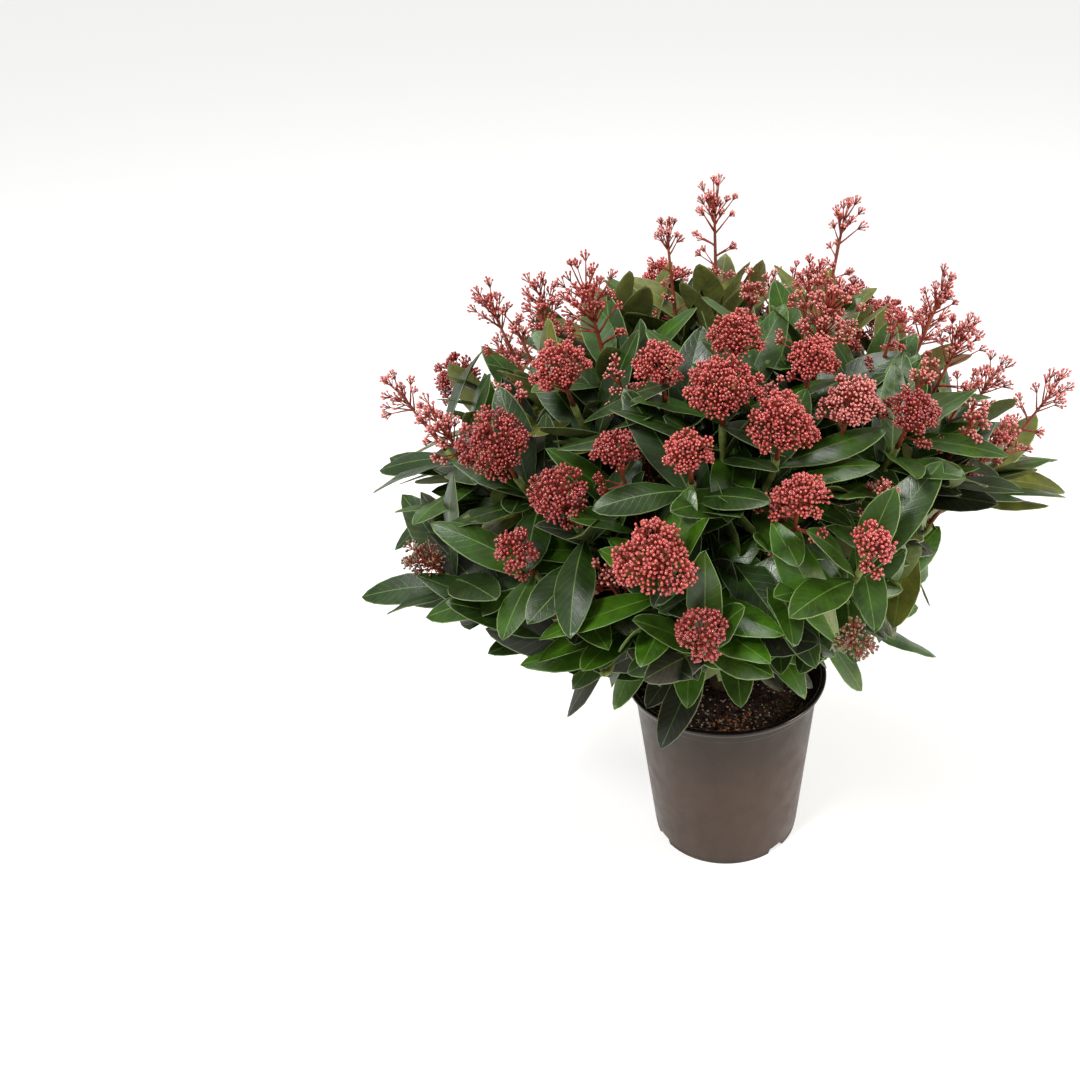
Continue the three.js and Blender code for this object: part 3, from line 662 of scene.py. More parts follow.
def tapered(path, radii, sides):
    """A limb whose radius runs evenly from the first to the second."""
    return tube(path, between(radii, np.linspace(0, 1, len(path))), sides)


def ball(sides, rings):
    """A round form of radius 1 about the z axis: the template of buds and grains."""
    z = np.repeat(np.cos(math.pi * np.arange(1, rings) / rings), sides)
    turn = np.tile(full_turn(sides), rings - 1)
    radius = np.sqrt(1 - z**2)
    points = np.stack([radius * np.cos(turn), radius * np.sin(turn), z], axis=1)
    points = np.concatenate([points, [[0, 0, 1], [0, 0, -1]]])
    return points, closed_rings(rings - 1, sides, downwards=True)


def open_prism(sides):
    """The sides of a straight stalk of radius 1 from z = 0 to z = 1."""
    points, faces = tube(np.array([[0, 0, 0], [0, 0, 1.0]]), [1, 1], sides)
    return points[: 2 * sides], faces[:sides]


BUD = ball(5, 3)
GRAIN = ball(5, 3)
PEDICEL = open_prism(3)


def frames_along(ways):
    """For each way, three unit vectors square to each other, the last of them along it."""
    hint = np.where(np.abs(ways[:, 2:]) < STEEP, SKY, BACK)
    first = units(np.cross(hint, ways))
    return np.stack([first, np.cross(ways, first), ways], axis=1)


def stamped(template, places, frames, sizes):
    """Copies of a template, each turned to its frame and stretched along its own three axes."""
    points, faces = template
    moved = places[:, None] + np.einsum("pj,kj,kji->kpi", points, sizes, frames)
    shift = (np.arange(len(places)) * len(points))[:, None, None]
    copies = np.where(faces[None] < 0, -1, faces[None] + shift)
    return moved.reshape(-1, 3), copies.reshape(-1, 4)


# ---- Materials ----

def linear(rgb):
    shares = np.array(rgb) / 255
    return (*np.where(shares <= 0.04045, shares / 12.92, ((shares + 0.055) / 1.055) ** 2.4), 1)


class Finish:
    """A material whose colour and relief are built from seeded patterns."""

    def __init__(self, name, rgb, **sockets):
        self.material = bpy.data.materials.new(name)
        self.material.use_nodes = True
        self.tree = self.material.node_tree
        self.shader = self.tree.nodes["Principled BSDF"]
        self.place = self.node("TexCoord").outputs["Object"]
        self.rgb = rgb
        self.colour = linear(rgb)
        self.relief = None
        self.feed(self.shader, Base_Color=self.colour, **sockets)

    def give(self, socket, value):
        """Sets a socket to a value, or links it where the value is a socket too."""
        if isinstance(value, bpy.types.NodeSocket):
            self.tree.links.new(value, socket)
        else:
            socket.default_value = value

    def feed(self, node, **inputs):
        for name, value in inputs.items():
            self.give(node.inputs[name.replace("_", " ")], value)
        return node

    def node(self, kind, **inputs):
        return self.feed(self.tree.nodes.new(f"ShaderNode{kind}"), **inputs)

    def math(self, operation, *values, clamp=False):
        node = self.node("Math")
        node.operation, node.use_clamp = operation, clamp
        for socket, value in zip(node.inputs, values):
            self.give(socket, value)
        return node.outputs[0]

    def noise(self, size, detail=3, stretch=(1, 1, 1)):
        """Noise whose blots are about size millimetres across."""
        place = self.node("Mapping", Scale=stretch, Vector=self.place).outputs["Vector"]
        node = self.node("TexNoise", Scale=1 / (size * MM), Detail=detail, Roughness=0.55, Vector=place)
        return node.outputs["Fac"]

    def spread(self, value, low, high, floor=0, top=1):
        """A pattern stretched so that low to high in it fills floor to top."""
        node = self.node("MapRange", From_Min=low, From_Max=high, To_Min=floor, To_Max=top, Value=value)
        return node.outputs["Result"]

    def height_share(self, low, high):
        """From 0 at the low height to 1 at the high one, in millimetres."""
        split = self.node("SeparateXYZ", Vector=self.place)
        return self.spread(split.outputs["Z"], low * MM, high * MM)

    def tint(self, pattern, rgb):
        """Colours the surface with rgb where the pattern is 1."""
        node = self.node("Mix")
        node.data_type = "RGBA"
        old, new = (socket for socket in node.inputs if socket.type == "RGBA")
        self.give(old, self.colour)
        self.give(new, linear(rgb))
        self.feed(node, Factor=pattern)
        self.colour = next(socket for socket in node.outputs if socket.type == "RGBA")
        self.feed(self.shader, Base_Color=self.colour)
        return self

    def vary(self, size, amount, detail=3, stretch=(1, 1, 1)):
        """Lighter and darker blots of the surface's own colour."""
        pattern = self.noise(size, detail, stretch)
        self.tint(self.spread(pattern, 0.5, 0.3), tuple(part * (1 - amount) for part in self.rgb))
        lighter = tuple(min(255, part * (1 + amount)) for part in self.rgb)
        return self.tint(self.spread(pattern, 0.5, 0.72), lighter)

    def rough(self, size, low, high):
        self.feed(self.shader, Roughness=self.spread(self.noise(size), 0.3, 0.7, low, high))
        return self

    def bump(self, pattern, depth):
        """Relief of depth millimetres, on top of any that is there already."""
        node = self.node("Bump", Strength=1, Distance=depth * MM, Height=pattern)
        if self.relief is not None:
            self.feed(node, Normal=self.relief)
        self.relief = node.outputs["Normal"]
        self.feed(self.shader, Normal=self.relief)
        return self

    def veins(self):
        """Thin lines that run from a leaf's midrib forwards to its margin."""
        place = self.node("UVMap")
        place.uv_map = "place"
        split = self.node("SeparateXYZ", Vector=place.outputs["UV"])
        out = self.math("ABSOLUTE", split.outputs["Y"])
        along = self.math("MULTIPLY", split.outputs["X"], VEIN_PAIRS)
        run = self.math("SUBTRACT", along, self.math("MULTIPLY", out, VEIN_SLANT))
        wave = self.math("PINGPONG", run, 0.5)
        return self.math("SUBTRACT", 1, self.math("MULTIPLY", wave, VEIN_THINNESS), clamp=True)


def leaf_finishes(green):
    """The four finishes of a green: blade, midrib, margin and underside."""
    name, rgb = f"leaf_{green}", GREENS[green]
    gloss = LEAF_ROUGHNESS.get(green, LEAF_ROUGHNESS["plain"])
    blade = Finish(name, rgb, Roughness=gloss, Specular_IOR_Level=LEAF_SHEEN).vary(14, 0.22)
    veins = blade.veins()
    blade.tint(blade.math("MULTIPLY", veins, 0.07), MIDRIB).rough(9, gloss - 0.07, gloss + 0.1)
    blade.bump(veins, -0.05).bump(blade.noise(2.2), 0.12)
    rib = Finish(f"{name}_midrib", mixed(MIDRIB, rgb, 0.35), Roughness=0.42).vary(5, 0.12)
    margin = Finish(f"{name}_margin", mixed(MARGIN, rgb, 0.45), Roughness=0.45).vary(6, 0.1)
    under = Finish(f"{name}_underside", mixed(UNDERSIDE, rgb, 0.3), Roughness=0.62).vary(11, 0.14)
    return [blade, rib, margin, under.bump(under.veins(), 0.15)]


def bud_finish(kind):
    finish = Finish(f"bud_{kind}", BUDS[kind], Roughness=0.3, Coat_Weight=0.9, Coat_Roughness=0.1)
    return finish.vary(2.4, 0.2).bump(finish.noise(0.7), 0.12)


def flower_branch_finish():
    finish = Finish("flower_branch", FLOWER_BRANCH, Roughness=0.5)
    return finish.vary(4, 0.25).bump(finish.noise(0.8), 0.1)


def stalk_finish():
    finish = Finish("flower_stalk", STALK, Roughness=0.5).vary(7, 0.28, stretch=(1, 1, 0.4))
    return finish.bump(finish.noise(1.2, stretch=(1, 1, 0.3)), 0.2)


def twig_finish(name, rgb):
    finish = Finish(name, rgb, Roughness=0.62).vary(6, 0.25)
    return finish.bump(finish.noise(1.5, detail=5), 0.3)


def bark_finish():
    finish = Finish("bark", BARK, Roughness=0.85).vary(9, 0.35, detail=6, stretch=(1, 1, 0.3))
    cracks = finish.noise(2.6, detail=6, stretch=(1, 1, 0.22))
    return finish.tint(finish.spread(cracks, 0.46, 0.34), BARK_CRACKS).bump(cracks, 0.9)


def pot_finish(name, rgb, gloss):
    """Moulded plastic: faint streaks, a little dust and a fine grain, and painted shade that darkens the wall
    towards the rim.
    """
    finish = Finish(name, rgb, IOR=1.5, Specular_Tint=linear(POT_SHEEN))
    finish.vary(26, 0.1, detail=4, stretch=(1, 1, 0.25))
    if name == "pot_wall":
        # painted shade: the wall's colour darkens towards the rim
        finish.tint(finish.math("MULTIPLY", finish.height_share(*PAINTED_SHADE_HEIGHTS), 0.9), POT_PAINTED_SHADE)
    dust = finish.spread(finish.noise(3.5, detail=6), 0.6, 0.78)
    finish.tint(finish.math("MULTIPLY", dust, 0.12), POT_DUST).rough(16, gloss - 0.06, gloss + 0.1)
    return finish.bump(finish.noise(0.6), 0.03).bump(finish.noise(30), 0.25)


def soil_finish():
    finish = Finish("soil", SOIL, Roughness=0.95).vary(5, 0.5, detail=6)
    finish.tint(finish.spread(finish.noise(2.2, detail=5), 0.62, 0.75), SOIL_FLECKS)
    return finish.bump(finish.noise(1.6, detail=8), 1.6)


def grain_finish(name, rgb, roughness):
    finish = Finish(name, rgb, Roughness=roughness).vary(1.6, 0.25, detail=5)
    return finish.bump(finish.noise(0.6, detail=5), 0.3)


# ---- The plan of shoots ----

@dataclass
class Mass:
    name: str
    bough_height: float
    shoots: list = field(default_factory=list)
    way: np.ndarray = None


@dataclass
class Shoot:
    number: int
    mass: Mass
    way: np.ndarray
    axis: np.ndarray
    tip: np.ndarray
    whorl: np.ndarray
    lean: float
    width: float
    kind: str
    green: str
    leaves: list = field(default_factory=list)
    plain: np.ndarray = None  # its twig in straight stretches, as the solids have it
    fine: np.ndarray = None  # the same twig, drawn smooth


def make_shoot(number, mass, way, reach, width, kind, green):
    lean = math.degrees(math.acos(way[2]))
    axis = unit(way + (SKY - way) * TWIG_UPTURN)
    tip = HEART + way * reach
    stalk = HEADS[kind].stalk if kind in HEADS else 0
    return Shoot(number, mass, way, axis, tip, tip - axis * stalk, lean, width, kind, green)


def plan_masses():
    masses, number = [], 0
    for name, (bough_height, greens, rows) in MASSES.items():
        mass = Mass(name, bough_height)
        for (turn, lean, reach, *head), green in zip(rows, greens.split()):
            number += 1
            width, kind = head or (0, "leafy")
            mass.shoots.append(make_shoot(number, mass, direction(turn, lean), reach, width, kind, green))
        mass.way = unit(sum(shoot.way for shoot in mass.shoots))
        masses.append(mass)
    return masses


def bearing(masses):
    """The shoots that bear a flower head."""
    return [shoot for mass in masses for shoot in mass.shoots if shoot.kind in HEADS]


def add_inner_shoots(masses):
    """Short leafy shoots inside the crown, between the boughs' tips and the leaves above them."""
    number = FIRST_NUMBER["inner"]
    for mass in masses:
        for i in range(INNER_TWIGS):
            number += 1
            turn = 2 * math.pi * (i / INNER_TWIGS + seeded(number, DRAW["inner"]))
            way = unit(mass.way + INNER_SIDEWAYS * around(mass.way, turn))
            reach = between(INNER_REACH, seeded(number, DRAW["size"]))
            # painted shade: all but the first inner twig take the dark old green, which darkens the inside of
            # the crown
            green = "old" if i else mass.shoots[0].green
            shoot = make_shoot(number, mass, way, reach, 0, "leafy", green)
            if inside_outline(shoot.tip[None]):
                mass.shoots.append(shoot)


def add_small_heads(masses):
    """Small open heads in the room between the larger ones of each mass, and a little lower."""
    heads = bearing(masses)
    number = FIRST_NUMBER["small"]
    for mass in masses:
        own = bearing([mass])
        middle = unit(sum(shoot.way for shoot in own))
        reach = float(np.mean([np.linalg.norm(shoot.tip - HEART) for shoot in own]))
        kind = "loose" if mass.way[2] < SMALL_TALL_FROM else "tall"
        for i in range(SMALL_HEAD_TRIES):
            number += 1
            turn = math.radians(GOLDEN_TURN * i) + 2 * math.pi * seeded(number, DRAW["inner"])
            out = SMALL_HEAD_SIDEWAYS * math.sqrt((i + 0.5) / SMALL_HEAD_TRIES)
            way = unit(middle + around(middle, turn) * out)
            width = between(SMALL_HEADS, seeded(number, DRAW["size"]))
            length = reach * between(SMALL_HEAD_REACH, seeded(number, DRAW["green"]))
            shoot = make_shoot(number, mass, way, length, width, kind, own[0].green)
            apart = min(np.linalg.norm(shoot.tip - head.tip) - (head.width + width) / 2 for head in heads)
            if apart > SMALL_HEAD_ROOM and shoot.lean < SMALL_HEAD_LEAN and not in_hollow(shoot.tip[None]):
                mass.shoots.append(shoot)
                heads.append(shoot)


def add_young_head(masses):
    name, turn, lean, reach, width = YOUNG_HEAD
    mass = next(mass for mass in masses if mass.name == name)
    way = direction(turn, lean)
    mass.shoots.append(make_shoot(FIRST_NUMBER["young"], mass, way, reach, width, "young", "old"))


def lay_twigs(mass):
    """Gives every shoot of a mass its twig, first the leader's, which is the mass's own stem."""
    leader = mass.shoots[0]
    start = HEART + mass.way * (LIMB_REACH + GAP)
    ends = (start, mass.way, leader.whorl, leader.axis, TWIG_BEND)
    stretches = bezier(*ends, MASS_STEM_STRETCHES)[1:]
    leader.plain = np.concatenate([[start, start + mass.way * STRAIGHT_START], stretches])
    leader.fine = bezier(*ends, FINE_STEPS)
    for shoot in mass.shoots[1:]:
        back = between(FORK_AT, seeded(shoot.number, DRAW["fork"]))
        fork, _ = back_along(leader.fine, back * np.linalg.norm(leader.whorl - start))
        ends = (fork, unit(shoot.tip - fork), shoot.whorl, shoot.axis, TWIG_BEND)
        shoot.plain = bezier(*ends, TWIG_STRETCHES)
        shoot.fine = bezier(*ends, FINE_STEPS)


# ---- Leaves ----

@dataclass
class Leaf:
    root: np.ndarray
    along: np.ndarray
    across: np.ndarray
    up: np.ndarray
    length: float
    width: float
    droop: float
    green: str
    traits: list  # seeded fractions for fold, camber, side bend, twist and margin waves

    def rib(self, shares):
        shares = shares[:, None]
        sag = self.up * (self.droop * self.length) * shares**2
        return self.root + self.along * self.length * shares - sag


def leaf_traits(number, *index):
    return [seeded(number + TRAIT_STEP * k, DRAW["shape"], *index) for k in range(LEAF_TRAITS)]


def skirt_height(points):
    """The lowest that a leaf may hang."""
    out = np.hypot(points[:, 0], points[:, 1])
    in_front = np.clip(-points[:, 1] / out, 0, 1) ** SKIRT_FRONT
    in_opening = np.clip(points @ direction(OPEN_TURN, 90) / out, 0, 1) ** OPEN_SHARE
    rise = between(SKIRT_RISE, in_front) * np.maximum(out - RIM_RADIUS, 0)
    return between(SKIRT_FOOT, in_opening) + rise


def in_hollow(points):
    turns = np.degrees(np.arctan2(points[:, 0], -points[:, 1]))
    eased = HOLLOW_EASE * np.maximum(np.abs(turns - HOLLOW_TURN) - HOLLOW_WIDTH, 0)
    under = points[:, 2] < HOLLOW_TOP - HOLLOW_SLOPE * points[:, 1]
    return under & (np.hypot(points[:, 0], points[:, 1]) > HOLLOW_REACH + eased)


def inside_outline(points):
    near = np.linalg.norm(points - HEART, axis=1) < LEAF_REACH
    return np.all(near & ~in_hollow(points) & (points[:, 2] > skirt_height(points)))


class Crowd:
    """What a new leaf has to keep clear of: leaves, flower heads, the pot and the crown's reach."""

    def __init__(self, masses):
        self.ribs = np.zeros((0, 3))
        self.heads = bearing(masses)
        self.low = np.array(CAD_BOX[0]) / MM - REACH_MARGIN
        self.high = np.array(CAD_BOX[1]) / MM + REACH_MARGIN

    def meets_head(self, points):
        for shoot in self.heads:
            form = HEADS[shoot.kind]
            away = points - (shoot.tip + shoot.axis * shoot.width * (form.above - form.height / 2))
            along = away @ shoot.axis
            out = np.sqrt(np.maximum((away**2).sum(axis=1) - along**2, 0))
            tall = shoot.width * form.height / 2
            if np.any((along / tall) ** 2 + (out / (shoot.width / 2)) ** 2 < HEAD_ROOM):
                return True
        return False

    def takes(self, leaf):
        """Whether there is room for a leaf, which then counts among the others."""
        rib = leaf.rib(RIB_SHARES)
        if np.any(rib < self.low) or np.any(rib > self.high) or not inside_outline(rib):
            return False
        apart = np.linalg.norm(self.ribs[:, None] - rib, axis=2)
        if apart.min(initial=LEAF_ROOM) < LEAF_ROOM or self.meets_head(rib):
            return False
        self.ribs = np.concatenate([self.ribs, rib])
        return True


def grow_leaf(shoot, index, count, closeness, crowd):
    """One leaf of a shoot, index steps down from its topmost, or None where it has no room."""
    distance = index * LEAF_SPACING
    if distance > path_length(shoot.fine) - TWIG_BARE:
        return None
    _, axis = back_along(shoot.plain, distance)
    point, _ = back_along(shoot.fine, distance)
    number = shoot.number
    outward = around(axis, math.radians(GOLDEN_TURN * index + 360 * seeded(number, DRAW["turn"])))
    lying = np.clip((shoot.lean - UPRIGHT_LEAN[0]) / (UPRIGHT_LEAN[1] - UPRIGHT_LEAN[0]), 0, 1)
    lying = lying * lying * (3 - 2 * lying)
    ends = [between(pair, lying) for pair in zip(UPRIGHT_SPREAD, LEAF_SPREAD)]
    jitter = (seeded(number, DRAW["spread"], index) * 2 - 1) * LEAF_SPREAD_JITTER
    full_spread = min((between(ends, index / (count - 1)) + jitter) * closeness, WIDEST_SPREAD)
    size = between(LEAF_SIZES, seeded(number, DRAW["size"], index))
    face = axis + (SKY - axis) * LEAF_FACE_UP
    green = shoot.green
    # leaves below the solids' own take a darker green: partly real age, partly painted shade inside the crown
    if index >= count:
        green = "old" if shoot.whorl[2] < OLD_BELOW else {"fresh": "mid"}.get(green, "deep")
    for length_share, spread_share in LEAF_TRIES:
        spread = math.radians(full_spread * spread_share)
        along = axis * math.cos(spread) + outward * math.sin(spread)
        up = square_to(along, face)
        leaf = Leaf(
            root=point - along * LEAF_ROOT,
            along=along,
            across=np.cross(up, along),
            up=up,
            length=LEAF_LENGTH * size * length_share,
            width=LEAF_WIDTH * math.sqrt(size * length_share),
            droop=between(LEAF_DROOP, seeded(number, DRAW["droop"], index)),
            green=green,
            traits=leaf_traits(number, index),
        )
        if crowd.takes(leaf):
            return leaf
    return None


def grow_leaves(masses, crowd):
    """All leaves: the solids' own first, then those between them, and then the older ones."""
    shoots = [shoot for mass in masses for shoot in mass.shoots]
    for stage in ("own", "between", "old"):
        closeness = BETWEEN_SPREAD if stage == "between" else 1
        for shoot in shoots:
            leafy = shoot.kind == "leafy"
            if stage == "between" and leafy and shoot.lean > AIRY_LEAN:
                continue
            count = LEAVES_ON_LEAFY if leafy else LEAVES_UNDER_HEAD
            indices = {
                "own": np.arange(count),
                "between": np.arange(count - 1) + 0.5,
                "old": count + OLD_SPACING * np.arange(OLD_LEAVES),
            }[stage]
            grown = [grow_leaf(shoot, float(index), count, closeness, crowd) for index in indices]
            shoot.leaves += [leaf for leaf in grown if leaf is not None]
    for mass in masses:
        mass.shoots = [shoot for shoot in mass.shoots if is_grown(shoot)]
    return [leaf for mass in masses for shoot in mass.shoots for leaf in shoot.leaves]


def is_grown(shoot):
    leads = shoot is shoot.mass.shoots[0]
    return leads or shoot.kind != "leafy" or len(shoot.leaves) > FEWEST_LEAVES


def hanging_leaves():
    """The leaves that hang low in front and over the pot's rim."""
    leaves = []
    for i, (turn, out, height, way_turn, pitch, length, green) in enumerate(HANGING):
        root = direction(turn, 90) * out + SKY * height
        along = direction(way_turn, 90 + pitch)
        up = square_to(along, SKY)
        width = LEAF_WIDTH * math.sqrt(length / LEAF_LENGTH)
        traits = leaf_traits(FIRST_NUMBER["hanging"] + i)
        leaves.append(Leaf(root, along, np.cross(up, along), up, length, width, HANGING_DROOP, green, traits))
    return leaves


def half_width(leaf):
    """Half of a leaf's width at each of its rows: a long taper to the petiole, a short one to the tip."""
    rows = LEAF_ROWS
    base = np.sin(math.pi / 2 * np.clip(rows / LEAF_WIDEST, 0, 1)) ** BASE_TAPER
    tip = np.cos(math.pi / 2 * np.clip((rows - LEAF_WIDEST) / (1 - LEAF_WIDEST), 0, 1)) ** TIP_TAPER
    share = np.where(rows < LEAF_WIDEST, base, tip)
    least = np.where(rows < LEAF_WIDEST, PETIOLE_WIDTH, TIP_WIDTH)
    return np.maximum(leaf.width / 2 * share, least)


# A leaf's ring of points: margin, blade, midrib, blade and margin across its upper side, and back
# across its underside. The finish of the face that follows each point:
RING_FINISH = np.array([2, 0, 1, 0, 2, 3, 3, 3, 3])
RING = len(RING_FINISH)


def leaf_mesh(leaf):
    """A thin blade with a fold at its midrib, a pale midrib and margin, and a matt underside."""
    fold, camber, side, twist, wave, phase = leaf.traits
    half = half_width(leaf)[:, None]
    rows = LEAF_ROWS[:, None]
    inner = half - np.minimum(MARGIN_WIDTH, EDGE_SHARE * half)
    rib = np.minimum(RIB_WIDTH * (1 - RIB_TAPER * rows), EDGE_SHARE * half)
    x = np.concatenate([-half, -inner, -rib, rib, inner, half, inner, 0 * half, -inner], axis=1)
    share = np.abs(x) / half
    height = half * (between(FOLD, fold) * share - between(CAMBER, camber) * share**2)
    waves = np.sin(2 * math.pi * (rows * between(MARGIN_WAVES, wave) + phase + 0.25 * np.sign(x)))
    height = height + half * WAVE_HEIGHT * wave * share**2 * waves
    height[:, 6:] -= LEAF_THICKNESS
    height[:, 7:8] -= RIB_DEPTH * (1 - RIB_DEPTH_TAPER * rows)
    turned = (twist - 0.5) * TWIST * rows
    bend = (side - 0.5) * SIDE_BEND * leaf.length * rows**2
    sag = leaf.droop * leaf.length * rows**2
    across = x * np.cos(turned) - height * np.sin(turned) + bend
    over = x * np.sin(turned) + height * np.cos(turned) - sag
    points = (
        leaf.root
        + leaf.along * (leaf.length * rows + 0 * x)[..., None]
        + leaf.across * across[..., None]
        + leaf.up * over[..., None]
    )
    places = np.stack([rows + 0 * x, x / half], axis=2)
    return points.reshape(-1, 3), places.reshape(-1, 2)


def leaf_faces():
    """The faces of every leaf, with the finish of each."""
    body = ring_faces(len(LEAF_ROWS), RING)[:, ::-1]
    finish = np.tile(RING_FINISH, len(LEAF_ROWS) - 1)
    fan = np.array([[0, i, i + 1, -1] for i in range(1, RING - 1)])
    last = (len(LEAF_ROWS) - 1) * RING
    tip = np.where(fan < 0, -1, fan[:, [0, 2, 1, 3]] + last)
    return np.concatenate([body, fan, tip]), np.concatenate([finish, np.full(2 * len(fan), 3)])


def make_leaves(leaves, nodes):
    faces, finish = leaf_faces()
    for green in GREENS:
        piece = Piece(f"leaves_{green}", leaf_finishes(green))
        for leaf in leaves:
            if leaf.green == green:
                points, places = leaf_mesh(leaf)
                piece.add(points, faces, finish, places)
        if piece.count:
            piece.build("foliage", nodes)


# ---- Flower heads ----

def round_share(step):
    """The radius of a ball at a share of its height, from 0 at its poles to 1 half-way."""
    return np.sqrt(np.maximum(1 - (1 - 2 * step) ** 2, 0))


def head_spots(shoot, fine):
    """Points spread evenly over a head's form, from its top down."""
    form = HEADS[shoot.kind]
    width = shoot.width
    steps = np.linspace(0, form.cover, HEAD_STEPS)
    swell = np.interp(steps, RING_STEPS, np.array(form.rings) / round_share(RING_STEPS))
    radii = width / 2 * round_share(steps) * swell
    rise = width * (form.above - form.height * steps)
    strip = np.hypot(np.diff(radii), np.diff(rise)) * (radii[1:] + radii[:-1]) / 2
    area = np.concatenate([[0], np.cumsum(strip)])
    count = max(FEWEST_CLUSTERS, round(2 * math.pi * area[-1] / (fine * form.room) ** 2))
    at = np.interp((np.arange(count) + 0.5) / count * area[-1], area, steps)
    own_turns = np.radians(GOLDEN_TURN) * np.arange(count)
    turns = own_turns + 2 * math.pi * seeded(shoot.number, DRAW["head"])
    lobe = 0.5 + 0.5 * np.cos(form.lobes * own_turns)
    radius = np.interp(at, steps, radii) * between((form.cleft, 1), lobe)
    first, second = sideways(shoot.axis)
    out = first * np.sin(turns)[:, None] + second * np.cos(turns)[:, None]
    return shoot.tip + shoot.axis * np.interp(at, steps, rise)[:, None] + out * radius[:, None]


def grow_head(shoot, rng, branches, buds):
    """One flower head: branches leave its stalk, and each ends in a rounded cluster of buds."""
    form = HEADS[shoot.kind]
    foot = shoot.tip - shoot.axis * shoot.width * HEAD_FOOT
    fine = np.interp(shoot.tip[2], FINE_HEIGHTS, FINE_SHARES)
    stalk = np.linspace(shoot.whorl, shoot.tip + shoot.axis * shoot.width * STALK_INTO, STALK_RINGS)
    branches.add(*tapered(stalk, STALK_RADII, STALK_SIDES), pick=1)
    for spot in head_spots(shoot, fine):
        if rng.random() < form.gaps:
            continue
        radius = fine * form.cluster * rng.uniform(*CLUSTER_SIZES)
        out = unit(spot - foot)
        room = np.linalg.norm(spot - foot) - CLUSTER_SINK * radius
        centre = foot + out * max(room, CLUSTER_LEAST * radius) * rng.uniform(*form.uneven)
        add_spray(shoot, centre - out * form.foot * radius, branches)
        add_cluster(centre, out, radius, form, fine, rng, branches, buds)
    for i in range(form.sides):
        add_side_spray(shoot, i, fine, rng, branches, buds)


def add_spray(shoot, fork, branches):
    """A bowed branch from the stalk to where a cluster's stalks part."""
    away = fork - shoot.tip
    rise = away @ shoot.axis
    out = away - shoot.axis * rise
    reach = np.linalg.norm(out)
    lowest = -SPRAY_DOWN * HEADS[shoot.kind].stalk
    foot = np.clip(rise - SPRAY_SLOPE * reach - SPRAY_DROP, lowest, shoot.width * SPRAY_UP)
    start = shoot.tip + shoot.axis * foot
    way = unit(shoot.axis + (unit(out) if reach > 1 else 0))
    path = bezier(start, way, fork, unit(fork - start), SPRAY_BEND, 3)
    branches.add(*tapered(path, SPRAY_RADII, SPRAY_SIDES))


def add_cluster(centre, out, radius, form, fine, rng, branches, buds):
    """Buds on thin stalks that leave one point, spread over a rounded top."""
    count = form.buds
    lift = 1 - CLUSTER_COVER * (np.arange(count) + 0.3) / count
    side = np.sqrt(1 - lift**2)
    turns = np.radians(GOLDEN_TURN) * np.arange(count) + rng.uniform(0, 2 * math.pi)
    first, second = sideways(out)
    ways = out * lift[:, None]
    ways = ways + (first * np.cos(turns)[:, None] + second * np.sin(turns)[:, None]) * side[:, None]
    ends = centre + ways * radius * rng.uniform(*BUD_REACH, (count, 1))
    starts = np.repeat([centre - out * form.foot * radius], count, axis=0)
    away = ends - starts
    lengths = np.linalg.norm(away, axis=1)
    frames = frames_along(away / lengths[:, None])
    stalks = np.stack([np.full(count, PEDICEL_RADIUS)] * 2 + [lengths], axis=1)
    branches.add(*stamped(PEDICEL, starts, frames, stalks))
    size = 1 + rng.uniform(-BUD_JITTER, BUD_JITTER, count)
    sizes = np.outer(size * fine * form.bud / 2, [1, 1, BUD_LENGTH])
    buds.add(*stamped(BUD, ends, frames, sizes))


def add_side_spray(shoot, index, fine, rng, branches, buds):
    """A forked branch lower down the stalk than the head, with a small cluster on each tine."""
    form, number = HEADS[shoot.kind], shoot.number
    outward = around(shoot.axis, math.radians(GOLDEN_TURN * index + 360 * seeded(number, DRAW["buds"])))
    start = shoot.tip - shoot.axis * form.stalk * between(SIDE_SPRAYS_AT, index / form.sides)
    reach = between(SIDE_SPRAY_REACH, seeded(number, DRAW["buds"], index)) * max(shoot.width, SPRAY_WIDTH)
    end = start + unit(outward + SIDE_RISE * shoot.axis) * reach
    radius = SIDE_CLUSTER * fine * form.cluster
    apart = unit(np.cross(outward, shoot.axis)) * radius
    for side in (-1, 1):
        centre = end + apart * side + shoot.axis * side * SIDE_STAGGER * radius
        out = unit(centre - start)
        fork = centre - out * form.foot * radius
        path = bezier(start, unit(outward + shoot.axis), fork, out, SPRAY_BEND, 4)
        branches.add(*tapered(path, SPRAY_RADII, SPRAY_SIDES))
        add_cluster(centre, out, radius, form, fine, rng, branches, buds)


def bud_kind(shoot):
    pick = seeded(shoot.number, DRAW["buds"])
    return next(colour for share, colour in BUD_SHARES[shoot.kind] if pick < share)


def make_heads(masses, rng, nodes):
    branch_finishes = [flower_branch_finish(), stalk_finish()]
    bud_finishes = {kind: [bud_finish(kind)] for kind in BUDS}
    for side in ("left", "right"):
        branches = Piece(f"flower_branches_{side}", branch_finishes)
        buds = {kind: Piece(f"buds_{kind}_{side}", bud_finishes[kind]) for kind in BUDS}
        for shoot in bearing([mass for mass in masses if (mass.way[0] < 0) == (side == "left")]):
            grow_head(shoot, rng, branches, buds[bud_kind(shoot)])
        for piece in (branches, *buds.values()):
            if piece.count:
                piece.build("foliage", nodes)


# ---- Wood ----

